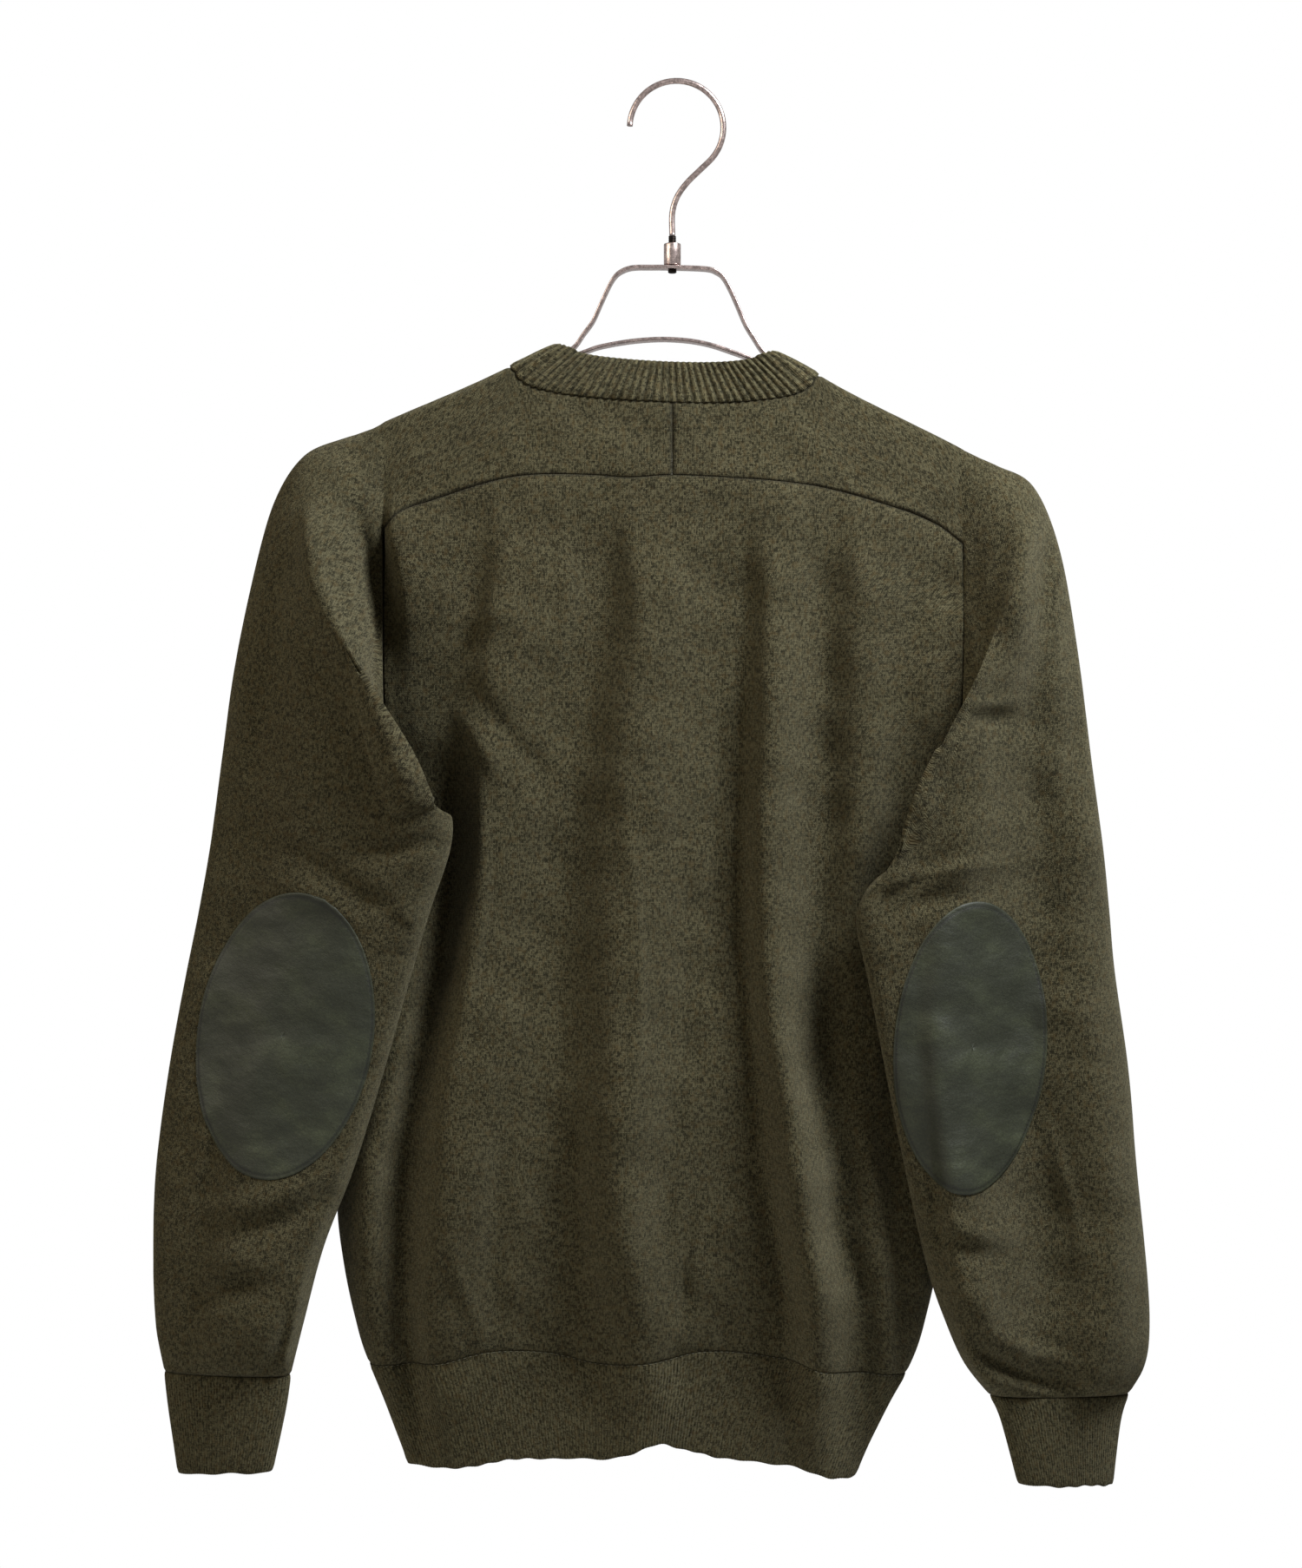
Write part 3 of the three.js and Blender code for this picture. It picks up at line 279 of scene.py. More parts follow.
LEFT_RINGS = [
    ((-196, 0, -208.5), (-172, -7, -441), 28, 27, 0, 3.2),
    ((-219, -1, -220), (-171, -27, -442), 34, 25, 8, 3),
    ((-236, -3, -246), (-158, -42, -438), 36, 19, 27, 0),
    ((-248, -5, -290), (-145, -46, -432), 32, 17, 36, 0),
    ((-259, -7, -345), (-135.5, -49, -428), 25, 15, 26, 0),
    ((-267, -8, -402), (-130, -50, -431), 19, 14, 10, 0),
    ((-273, -8, -445), (-131.5, -49, -450), 17, 14, 1, 0),
    ((-279, -9, -480), (-143, -44, -484), 16, 14, 0, 0),
    ((-288, -9, -525), (-155, -40, -524), 16, 14, 0, 0),
    ((-297, -10, -575), (-169, -37, -573), 16, 14, 0, 0),
    ((-304.5, -10, -632), (-187, -34, -631), 16, 15, 0, 0),
    ((-306, -11, -678), (-205, -33, -677), 16, 15, 0, 0),
    ((-304.5, -12, -722), (-217, -30, -721), 15, 14, 0, 0),
    ((-299.5, -13, -753), (-225, -27, -753), 12, 12, 0, 0),
]
RIGHT_CUFF = [
    ((257, -13, -782), (186.5, -25, -779), 11, 11, 0, 0),
    ((252.5, -13, -818), (196.5, -25, -816), 10, 10, 0, 0),
]
LEFT_CUFF = [
    ((-297, -13, -775), (-228, -27, -773), 11, 11, 0, 0),
    ((-291.5, -13, -811), (-235.5, -27, -808), 10, 10, 0, 0),
]
RING_OVAL = 2.3
RING_FLATNESS = 0.22
STEPS_PER_RING = [2, 2, 1, 2, 2, 1, 1, 1, 2, 1, 2, 1, 1, 1]

# Elbow patches: centre x and z, half width, half height and lean in degrees
PATCHES = {
    "left": (-226.8, -555, 51.7, 82.8, 9.5),
    "right": (167, -561.4, 45, 83.3, 3),
}

# The hanger
WIRE_RADIUS = 1.75
HOOK_CENTRE = (-1.3, -25.75)
HOOK_RADIUS = 27.5
HOOK_FROM = 178
HOOK_TO = -46
HOOK_STEM = [(11.5, -51.5), (4.5, -58.5), (-1, -66.5), (-3.8, -76), (-3.8, -89)]
STEM_X = -3.8
FERRULE_TOP = -89.3
FERRULE_SHOULDER = -93.8
FERRULE_BOTTOM = -106.6
FERRULE_RADIUS = 5.0
THREAD_RADIUS = 2.25
THREAD_PITCH = 0.8
THREAD_DEPTH = 0.18
BOLT_RADIUS = 2.5
BOLT_TOP = -109.0
BAR_DEPTH = 10.4
BAR_THICKNESS = 2.0
BAR_BELOW_CLOTH = 2.8
FRAME_NECK = [
    (-61.5, -154.9), (-55.7, -147), (-50.2, -139.4), (-45.4, -128.9), (-40.6, -118.6), (-37, -113),
    (-32.8, -109.9), (-26.6, -108.1), (-15.3, -107.9), (-4, -108), (16, -108.8), (22.4, -110.9),
    (26.1, -113.9), (30.1, -121), (34.1, -129.9), (38.9, -141.1), (43.9, -149.4), (49, -157)]
ARM_LEFT = [-201, -186, -164, -140, -116, -93, -80, -70]
ARM_RIGHT = [57, 68, 82, 101, 122, 142, 162, 180, 193]
ARCH = [
    (-78, -165), (-66, -161.6), (-54, -157.2), (-47, -154.8), (-34.7, -152.3), (-21.9, -150.7),
    (-8.8, -150.1), (4, -150.8), (13.7, -152.3), (21.8, -154.4), (30, -157.2), (40, -160.8),
    (52, -166), (64, -171), (74, -176)]

# The floor ends before it comes into the photograph's view, which has a plain white ground
FLOOR_HALF = 0.6

# Light, in metres: each lamp's place, width and colour, and how much of the white ground metal mirrors
MIDDLE = (0, 0, -0.45)
KEY_LIGHT = ((0.66, -0.52, 0.58), 0.4, (0.97, 1, 1.03))
SIDE_LIGHT = ((-1.25, -0.8, 0.3), 1.0, (1, 0.9, 0.74))
ROOM_COLOUR = (1, 0.92, 0.78, 1)
GLOSSY_SHARE = 0.4

# How finely the cloth is divided
FINE = 4
SADDLE_STEPS = 10 * FINE
ROWS_ABOVE = 10 * FINE
SADDLE_COLUMNS = 76
AROUND = SADDLE_STEPS + 2 * ROWS_ABOVE
PANEL_COLUMNS = 132
ROWS_BELOW = 96
ROWS_PER_STEP = 8
RIB_POINTS = 6
MEASURE_STEPS = 1440


def lerp(a, b, t):
    return a + (b - a) * t


def ease(t):
    t = np.clip(t, 0, 1)
    return t * t * (3 - 2 * t)


def along(rows, key, column=1):
    """Reads a smooth value from rows of key and values, in rising order of the key."""
    table = np.asarray(rows, float)
    keys, values = table[:, 0], table[:, column]
    slopes = np.gradient(values)
    slopes[1:-1] = (values[2:] - values[:-2]) / (keys[2:] - keys[:-2])
    slopes[0] = (values[1] - values[0]) / (keys[1] - keys[0])
    slopes[-1] = (values[-1] - values[-2]) / (keys[-1] - keys[-2])
    k = np.clip(key, keys[0], keys[-1])
    i = np.clip(np.searchsorted(keys, k, side="right") - 1, 0, len(keys) - 2)
    width = keys[i + 1] - keys[i]
    t = (k - keys[i]) / width
    rise = values[i + 1] - values[i]
    m0, m1 = slopes[i] * width, slopes[i + 1] * width
    return values[i] + m0 * t + (3 * rise - 2 * m0 - m1) * t**2 + (m0 + m1 - 2 * rise) * t**3


def shoulder_top(x):
    return along(SHOULDER_LINE, x)


def hang(drop):
    """Half depth of the hanging cloth, a given drop below the fold over the hanger."""
    u = np.clip(drop / FOLD_DROP, 0, 1)
    fold = FOLD_HALF_DEPTH * (1 - (1 - u) ** OVAL) ** (1 / OVAL)
    return fold + SWELL * (1 - np.exp(-np.maximum(drop - FOLD_DROP, 0) / SWELL_LENGTH))


def body_plan(z):
    """Centre and half width of the body at a height."""
    z = np.asarray(z, float)
    up = np.maximum(z - ARMPIT_Z, 0) / SPREAD_HEIGHT
    left, right = along(SIDES, z, 1), along(SIDES, z, 2)
    above = z > ARMPIT_Z
    centre = np.where(above, CENTRE_X, (left + right) / 2)
    half = np.where(above, ARMPIT_HALF_WIDTH + SHOULDER_SPREAD * up * up, (right - left) / 2)
    return centre, half


def side_fall(x, z):
    """How the body's depth falls off towards its sides, from 1 to 0."""
    centre, half = body_plan(z)
    across = np.clip(np.abs(x - centre) / half, 0, 1)
    return (1 - across**OVAL) ** (1 / OVAL)


def fold_height(lines, x, z):
    """Runs smoothly from crest to hollow across the cloth, each of which follows its own line."""
    at = np.array([along(line, z, 1) for line in lines])
    high = np.array([along(line, z, 2) for line in lines])
    at = np.concatenate([at[:1] - 30, at, at[-1:] + 30])
    high = np.concatenate([0 * high[:1], high, 0 * high[:1]])
    gaps = np.maximum(np.diff(at, axis=0), 2)
    pace = np.diff(high, axis=0) / gaps
    before, after = pace[:-1], pace[1:]
    same = before * after > 0
    total = np.where(same, before + after, 1)
    slopes = np.where(same, 2 * before * after / total, 0)
    slopes = np.concatenate([0 * high[:1], slopes, 0 * high[:1]])
    found = np.zeros(np.broadcast(x, z).shape)
    for k in range(len(gaps)):
        t = (x - at[k]) / gaps[k]
        inside = (t >= 0) & (t < 1)
        rise = high[k + 1] - high[k]
        m0, m1 = slopes[k] * gaps[k], slopes[k + 1] * gaps[k]
        curve = high[k] + m0 * t + (3 * rise - 2 * m0 - m1) * t**2 + (m0 + m1 - 2 * rise) * t**3
        found = np.where(inside, curve, found)
    deeper = 1 + GROWTH * ease((GROWTH_FROM - z) / GROWTH_LENGTH)
    high_up = 1 + SHOULDER_GROWTH * np.exp(-(((z - SHOULDER_BAND_Z) / SHOULDER_BAND_HALF) ** 2))
    return FOLD_STRENGTH * deeper * high_up * found * ease((FOLD_TOP - z) / FOLD_FADE)


def on_photo(x, y, z):
    """Where a point shows on the photograph's plane, which stands at y = 0."""
    f = CAMERA_AT[1] / (CAMERA_AT[1] - y)
    return CAMERA_AT[0] + (x - CAMERA_AT[0]) * f, CAMERA_AT[2] + (z - CAMERA_AT[2]) * f


def crease_height(creases, x, z):
    """Adds up soft creases. Each one fades at both ends and may be steeper on one side."""
    total = np.zeros(x.shape)
    for half, high, steep, path in creases:
        line = smooth_line(path, 6)
        steps = np.diff(line, axis=0)
        lengths = np.hypot(steps[:, 0], steps[:, 1])
        starts = np.concatenate([[0], np.cumsum(lengths)])
        near = np.full(x.shape, np.inf)
        side = np.ones(x.shape)
        where = np.zeros(x.shape)
        for k, (dx, dz) in enumerate(steps):
            px, pz = x - line[k, 0], z - line[k, 1]
            t = np.clip((px * dx + pz * dz) / lengths[k] ** 2, 0, 1)
            gap = np.hypot(px - t * dx, pz - t * dz)
            closer = gap < near
            near = np.where(closer, gap, near)
            side = np.where(closer, np.sign(dx * pz - dz * px), side)
            where = np.where(closer, starts[k] + t * lengths[k], where)
        share = where / starts[-1]
        taper = np.sin(math.pi * np.clip(share, 0.0, 1.0)) ** 0.8
        width = np.where(side > 0, half * steep, half)
        total += high * taper * np.exp(-((near / width) ** 2))
    return CREASE_STRENGTH * total


def unevenness(x, z, seed, scale, height):
    """Slight, smooth unevenness of hanging cloth, the same each time for one seed."""
    draw = np.random.default_rng(seed)
    total = np.zeros(np.broadcast(x, z).shape)
    waves = 9
    for _ in range(waves):
        angle = draw.uniform(0, math.pi)
        pace = 2 * math.pi / (scale * draw.uniform(0.7, 1.8))
        phase = draw.uniform(0, 2 * math.pi)
        total += np.sin(pace * (x * math.cos(angle) + z * math.sin(angle)) + phase)
    return height * total / math.sqrt(waves)


def smooth_line(points, steps):
    """A smooth line through points, with so many steps between each two."""
    p = np.asarray(points, float)
    ends = np.concatenate([[2 * p[0] - p[1]], p, [2 * p[-1] - p[-2]]])
    found = []
    for i in range(len(p) - 1):
        p0, p1, p2, p3 = ends[i:i + 4]
        for t in np.arange(steps) / steps:
            found.append(catmull(p0, p1, p2, p3, t))
    found.append(p[-1])
    return np.array(found)


def catmull(p0, p1, p2, p3, t):
    t2, t3 = t * t, t * t * t
    return (p0 * (-t3 + 2 * t2 - t) + p1 * (3 * t3 - 5 * t2 + 2)
            + p2 * (-3 * t3 + 4 * t2 + t) + p3 * (t3 - t2)) / 2


def blouse(height, most, length):
    """How far cloth swells out above a band that draws it in."""
    share = np.maximum(height, 0) / length
    return most * share * np.exp(1 - share)


def gathers(along_seam, height, size):
    """Small puckers in a strip just above a band's seam."""
    wave = np.sin(along_seam / 1.45 + 1.9 * np.sin(along_seam / 7.3))
    slow = np.sin(along_seam / 3.1 + 2.3 * np.sin(along_seam / 19.0))
    over = np.maximum(height, 0)
    return size * (0.6 * wave + slow) * np.exp(-(((over - 7) / 8) ** 2)) * ease(over / 4)


def body_depth(x, z, front):
    """Half depth of the body with its folds and creases."""
    fall = side_fall(x, z)
    sway = hang(shoulder_top(x) - z)
    y = sway * fall if front else -sway * fall
    px, pz = on_photo(x, y, z)
    folds = fold_height(FRONT_LINES if front else BACK_LINES, px, pz)
    lines = crease_height(FRONT_CREASES if front else BACK_CREASES, px, pz)
    rough = unevenness(px, pz, 3 if front else 5, 50, 0.9) + unevenness(px, pz, 11, 22, 0.4)
    drop = ease((shoulder_top(x) - z - FOLD_DROP) / 40)
    over = z - along(HEM_SEAM, x)
    most, length, inward = FRONT_SWELL if front else BACK_SWELL
    swell = blouse(over, most, length) + gathers(x, over, GATHER) - inward
    low = ease((BODY_SWELL_TOP - z) / BODY_SWELL_FADE)
    return (sway + folds + lines + rough * drop + swell * low) * fall


def body_point(x, z, front):
    depth = body_depth(x, z, front)
    return np.stack([x + 0 * depth, depth if front else -depth, z + 0 * depth], -1)


def drape(x, s):
    """A point on the draped shoulders: s is the distance from the fold line, negative at the back."""
    x, s = np.broadcast_arrays(np.asarray(x, float), np.asarray(s, float))
    far = np.maximum(np.abs(s) - FOLD_ARC, 0)
    z_far = shoulder_top(x) - FOLD_DROP - far
    depth = np.where(s < 0, body_depth(x, z_far, False), body_depth(x, z_far, True))
    turn = np.clip(np.abs(s) / FOLD_ARC, 0, 1) * (math.pi / 2)
    y_near = FOLD_HALF_DEPTH * np.sin(turn) ** (2 / OVAL)
    z_near = shoulder_top(x) - FOLD_DROP * (1 - np.cos(turn) ** (2 / OVAL))
    over = np.abs(s) < FOLD_ARC
    y = np.where(over, y_near, depth) * np.sign(s)
    return np.stack([x, y, np.where(over, z_near, z_far)], -1)


def distance_of(x, z):
    """The distance from the fold line of a point at a height, for drape."""
    return shoulder_top(x) - FOLD_DROP - z + FOLD_ARC


def neck_oval(oval, angle):
    centre, half, back, front = oval
    sine = np.sin(angle)
    return centre + half * np.cos(angle), np.where(sine < 0, back, front) * sine


def with_edge_steps(steps, near=0.35):
    """Adds a step close to each end, so that an edge can turn in sharply."""
    first, last = steps[1] - steps[0], steps[-1] - steps[-2]
    return np.concatenate([[steps[0], steps[0] + near * first], steps[1:-1],
                           [steps[-1] - near * last, steps[-1]]])


def even_turns(start, end, place, shares):
    """The turns that reach the given shares of a curve's length."""
    turns = np.linspace(start, end, MEASURE_STEPS + 1)
    x, y = place(turns)
    lengths = np.concatenate([[0], np.cumsum(np.hypot(np.diff(x), np.diff(y)))])
    return np.interp(np.asarray(shares) * lengths[-1], lengths, turns)


def oval_across(turn):
    return np.sign(turn) * np.abs(np.sin(turn)) ** (2 / OVAL)


def oval_steps(shares):
    """Even steps round the flat oval of the body, from one side to the other, as -1 to 1."""
    def place(turn):
        return oval_across(turn), BODY_FLATNESS * np.abs(np.cos(turn)) ** (2 / OVAL)
    return oval_across(even_turns(-math.pi / 2, math.pi / 2, place, shares))


def ring_angles(count):
    def place(turn):
        return np.cos(turn), RING_FLATNESS * np.sin(turn)
    return even_turns(0, 2 * math.pi, place, np.arange(count) / count)


class Sheet:
    """An open sheet of cloth: its outer points, its faces, and each corner's place on the flat cut."""

    def __init__(self):
        self.blocks = []
        self.count = 0
        self.faces = []
        self.cuts = []

    def add(self, grid):
        rows, columns = grid.shape[:2]
        numbers = self.count + np.arange(rows * columns).reshape(rows, columns)
        self.blocks.append(grid.reshape(-1, 3))
        self.count += rows * columns
        return numbers

    def weave(self, numbers, cut):
        """Joins a grid of point numbers with faces. A closed grid repeats its first column."""
        self.faces.append(corners_of(numbers))
        self.cuts.append(corners_of(cut))

    def finish(self, flip):
        self.points = np.concatenate(self.blocks)
        self.faces = np.concatenate(self.faces)
        self.cuts = np.concatenate(self.cuts)
        if flip:
            self.faces = self.faces[:, ::-1]
            self.cuts = self.cuts[:, ::-1]
        return self

    def normals(self):
        p = self.points
        f = self.faces
        area = np.cross(p[f[:, 2]] - p[f[:, 0]], p[f[:, 3]] - p[f[:, 1]])
        total = np.zeros_like(p)
        for corner in range(4):
            np.add.at(total, f[:, corner], area)
        return total / np.maximum(np.linalg.norm(total, axis=1, keepdims=True), 1e-12)

    def edges(self):
        """The open edges, each as the two point numbers in the order of its face."""
        pairs = np.concatenate([self.faces[:, [i, (i + 1) % 4]] for i in range(4)])
        corners = np.concatenate([self.cuts[:, [i, (i + 1) % 4]] for i in range(4)])
        keys = pairs.min(1) * self.count + pairs.max(1)
        _, first, times = np.unique(keys, return_index=True, return_counts=True)
        single = first[times == 1]
        return pairs[single], corners[single]


def corners_of(grid):
    parts = [grid[:-1, :-1], grid[1:, :-1], grid[1:, 1:], grid[:-1, 1:]]
    return np.stack([p.reshape(-1, *grid.shape[2:]) for p in parts], 1)


def closed(grid):
    return np.concatenate([grid, grid[:, :1]], 1)


def cut_of(grid):
    """Each point's place on the flat cut, in millimetres: across along the row, and down the column."""
    steps = np.linalg.norm(np.diff(grid, axis=1), axis=2)
    across = np.concatenate([np.zeros((len(grid), 1)), np.cumsum(steps, 1)], 1)
    drops = np.linalg.norm(np.diff(grid, axis=0), axis=2)
    down = np.concatenate([np.zeros((1, grid.shape[1])), np.cumsum(drops, 0)], 0)
    return np.stack([across, -down], -1)


def cut_along(grid, axis, start):
    """Places on the flat cut: down along an axis, and across square to it, from a start column."""
    axis = np.asarray(axis, float) / np.linalg.norm(axis)
    flat = grid[..., [0, 2]]
    down = flat @ axis
    side = flat @ np.array([-axis[1], axis[0]])
    steps = np.hypot(np.diff(side, axis=1), np.diff(grid[..., 1], axis=1))
    across = np.concatenate([np.zeros((len(grid), 1)), np.cumsum(steps, 1)], 1)
    across -= across[:, start:start + 1]
    turn = np.sign(side[len(grid) // 2, start + 1] - side[len(grid) // 2, start])
    return np.stack([across * turn + side[:, start:start + 1], down], -1)


def edge_gaps(sheet, points):
    """How far each point lies from the nearest open edge."""
    pairs, _ = sheet.edges()
    a, b = points[pairs[:, 0]], points[pairs[:, 1]]
    on_edge = np.concatenate([lerp(a, b, t) for t in (0, 0.25, 0.5, 0.75)])
    tree = KDTree(len(on_edge))
    for i, p in enumerate(on_edge):
        tree.insert(p, i)
    tree.balance()
    return np.array([tree.find(p)[2] for p in points])


def painted_seam_shade(gaps, z):
    """Painted shade along the seams: from 0 in a seam, where the cloth is painted darkest, to 1 away from
    it. In the armholes it stays 1, and above the bands nearly so.
    """
    in_armhole = ease((-270 - z) / 25) * ease((z + 450) / 25)
    at_bands = 0.55 * ease((-690 - z) / 30)
    return lerp(ease((gaps - 0.2) / 1.2), 1, np.maximum(in_armhole, at_bands))


def shell(name, sheet, thickness, raised=None, roll=EDGE_ROLL):
    """Makes a mesh object from a sheet: its points are the outer side, and raised lifts them.

    The open edges turn in by roll. The point layer raise tells ribs and furrows, or seams, apart, and the
    materials paint shade into the low points by it.
    """
    normals = sheet.normals()
    inner = sheet.points - normals * thickness
    outer = sheet.points if raised is None else sheet.points + normals * raised[:, None]
    gaps = edge_gaps(sheet, outer)
    outer = outer - normals * (roll * (1 - ease(gaps / EDGE_ROLL_WIDTH)))[:, None]
    pairs, corners = sheet.edges()
    n = sheet.count
    rim = np.stack([pairs[:, 1], pairs[:, 0], pairs[:, 0] + n, pairs[:, 1] + n], 1)
    rim_cut = np.stack([corners[:, 1], corners[:, 0], corners[:, 0], corners[:, 1]], 1)
    faces = np.concatenate([sheet.faces, sheet.faces[:, ::-1] + n, rim])
    cuts = np.concatenate([sheet.cuts, sheet.cuts[:, ::-1], rim_cut])
    piece = mesh_object(name, np.concatenate([outer, inner]), faces.tolist(), cuts)
    # The raise layer carries painted shade: seams and rib furrows are darkened by it in the materials'
    # colour.
    if raised is None:
        share = painted_seam_shade(gaps, outer[:, 2])
    else:
        share = (raised - raised.min()) / np.ptp(raised)
    layer = piece.data.attributes.new("raise", "FLOAT", "POINT")
    layer.data.foreach_set("value", np.concatenate([share, np.ones(n)]))
    return piece


def mesh_object(name, points, faces, cuts=None):
    """A smooth-shaded mesh object from points and places on the cut in millimetres."""
    mesh = bpy.data.meshes.new(name)
    mesh.from_pydata((np.asarray(points) * MM).tolist(), [], faces)
    mesh.polygons.foreach_set("use_smooth", np.ones(len(mesh.polygons), bool))
    if cuts is not None:
        layer = mesh.uv_layers.new(name="cut")
        layer.data.foreach_set("uv", (np.asarray(cuts).reshape(-1, 2) * MM).ravel())
    mesh.update()
    piece = bpy.data.objects.new(name, mesh)
    bpy.context.scene.collection.objects.link(piece)
    return piece


def finish_piece(piece, material, slot, *nodes):
    piece.data.materials.append(material)
    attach(piece, "root")
    if nodes:
        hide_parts(*nodes)
    return piece


# Panels
CORNER_ANGLE = math.asin(FRONT_CORNER_S / NECK_SEAM[3])


def armhole_x(side, z):
    return along(ARMHOLE, z, 2 if side > 0 else 1)


def yoke_end(side):
    return YOKE_SEAM[-1] if side > 0 else YOKE_SEAM[0]


def front_shoulder(side, t):
    """The front seam of the saddle, as x and s, from the neck to the armhole."""
    x0, s0 = neck_oval(NECK_SEAM, CORNER_ANGLE if side > 0 else math.pi - CORNER_ANGLE)
    return lerp(x0, yoke_end(side)[0], t), lerp(s0, FRONT_ARMHOLE_DROP, t)


def back_top(c):
    """The back panel's top edge from left to right, along the saddle seam."""
    x = lerp(yoke_end(-1)[0], yoke_end(1)[0], c)
    return x, along(YOKE_SEAM, x)


def front_top(c):
    """The front panel's top edge from left to right: shoulder, neck, shoulder."""
    shoulder, neck = 0.25, 0.5
    left = front_shoulder(-1, np.clip(1 - c / shoulder, 0, 1))
    right = front_shoulder(1, np.clip((c - shoulder - neck) / shoulder, 0, 1))
    angle = lerp(math.pi - CORNER_ANGLE, CORNER_ANGLE, np.clip((c - shoulder) / neck, 0, 1))
    middle = neck_oval(NECK_SEAM, angle)
    x = np.where(c < shoulder, left[0], np.where(c > shoulder + neck, right[0], middle[0]))
    s = np.where(c < shoulder, left[1], np.where(c > shoulder + neck, right[1], middle[1]))
    return x, shoulder_top(x) - FOLD_DROP - np.maximum(s - FOLD_ARC, 0)


def panel_grid(front):
    """A panel as rows from its top edge down to the hem seam."""
    c = with_edge_steps(np.linspace(0, 1, PANEL_COLUMNS + 1))
    top_x, top_z = front_top(c) if front else back_top(c)
    share_top = (top_x - top_x[0]) / (top_x[-1] - top_x[0])
    share_low = (oval_steps(c) + 1) / 2
    upper = with_edge_steps(np.linspace(0, 1, ROWS_ABOVE + 1))[:-2]
    rows = []
    for t in upper:
        left = top_x[0] if t == 0 else armhole_x(-1, lerp(top_z[0], ARMPIT_Z, t))
        right = top_x[-1] if t == 0 else armhole_x(1, lerp(top_z[-1], ARMPIT_Z, t))
        share = lerp(share_top, share_low, ease(t))
        rows.append(body_point(lerp(left, right, share), lerp(top_z, ARMPIT_Z, t), front))
    step = 2 * share_low - 1
    for t in with_edge_steps(np.linspace(0, 1, ROWS_BELOW + 1)):
        centre, half = body_plan(lerp(ARMPIT_Z, HEM_LEFT_Z, t))
        z = lerp(ARMPIT_Z, along(HEM_SEAM, centre + step * half), t)
        centre, half = body_plan(z)
        rows.append(body_point(centre + step * half, z, front))
    grid = np.array(rows)
    away = SEAM / 2 if front else -SEAM / 2
    below = len(upper)
    grid[below:, 0, 1] = away
    grid[below:, -1, 1] = away
    return grid


def panel_sheet(front):
    grid = panel_grid(front)
    sheet = Sheet()
    sheet.weave(sheet.add(grid), cut_along(grid, (0, 1), grid.shape[1] // 2))
    return sheet.finish(flip=front)


# Sleeves
def ring_points(ring):
    """A closed ring round the sleeve, which bows inwards at the back and may come to a tip."""
    outer, inner = np.array(ring[0], float), np.array(ring[1], float)
    back, front, bow, tip = ring[2:]
    middle, half = (outer + inner) / 2, (outer - inner) / 2
    across = half / np.linalg.norm(half)
    behind = np.array([0, -1.0, 0])
    out = behind - across * (behind @ across)
    out /= np.linalg.norm(out)
    inward = np.array([-np.sign(outer[0]), 0, 0])
    angle = ring_angles(AROUND)
    c, s = np.cos(angle), np.sin(angle)
    power = np.where((c > 0) & (tip > 0), 2 / max(tip, 1), 2 / RING_OVAL)
    depth = np.where(s > 0, back, front) * np.sign(s) * np.abs(s) ** power
    lean = np.where(s > 0, bow * s * s * (0.5 - 0.5 * c), 0)
    reach = np.sign(c) * np.abs(c) ** power
    return middle + np.outer(reach, half) + np.outer(depth, out) + np.outer(lean, inward)


def armhole(side):
    """The armhole: over the shoulder, down the back seam to the armpit and up the front seam."""
    away = side * SEAM
    x = yoke_end(side)[0] + away
    back_z = along(YOKE_SEAM, yoke_end(side)[0])
    front_z = front_top(np.array([1.0 if side > 0 else 0.0]))[1][0]
    back_s = -distance_of(x, back_z) + SEAM
    front_s = distance_of(x, front_z) - SEAM
    over = drape(x, lerp(front_s, back_s, np.linspace(0, 1, SADDLE_STEPS + 1)))
    t = np.arange(1, ROWS_ABOVE) / ROWS_ABOVE

    def seam(top_z, front):
        z = lerp(top_z, ARMPIT_Z, t)
        points = body_point(armhole_x(side, z), z, front)
        points[:, 0] += away
        return points
    half = SADDLE_STEPS // 2
    armpit = np.array([[armhole_x(side, ARMPIT_Z) + away, 0, ARMPIT_Z]])
    return np.concatenate([over[half:], seam(back_z, False), armpit, seam(front_z, True)[::-1],
                           over[:half]])


def smooth_rings(rings, steps):
    """Smooth rows through rings, with so many steps between each two."""
    rows = []
    last = len(rings) - 1
    for r in range(last):
        p0, p1 = rings[max(r - 1, 0)], rings[r]
        p2, p3 = rings[r + 1], rings[min(r + 2, last)]
        for t in np.arange(steps[r]) / steps[r]:
            rows.append(catmull(p0, p1, p2, p3, t))
    rows.append(rings[last])
    return np.array(rows)


def saddle_grid(side):
    """The shoulder piece as rows from its lower back edge over the shoulder, centre back first."""
    shares = np.linspace(0, 1, SADDLE_COLUMNS + 1)[:-1]
    neck_share = 2 / 3
    start = -math.pi / 2 + math.asin((CENTRE_X - NECK_SEAM[0]) / NECK_SEAM[1])
    end = CORNER_ANGLE if side > 0 else -math.pi - CORNER_ANGLE
    rows = []
    for c in shares:
        x = lerp(CENTRE_X, yoke_end(side)[0], c)
        shift = side * SEAM / 2 if c == 0 else 0
        low = -distance_of(x, along(YOKE_SEAM, x)) + SEAM
        if c < neck_share:
            top_x, top_s = neck_oval(NECK_SEAM, lerp(start, end, c / neck_share))
        else:
            top_x, top_s = front_shoulder(side, (c - neck_share) / (1 - neck_share))
            top_s = top_s - FRONT_SEAM_GAP
        t = np.linspace(0, 1, SADDLE_STEPS + 1)
        rows.append(drape(lerp(x, top_x, t) + shift, lerp(low, top_s, t)))
    return np.array(rows)


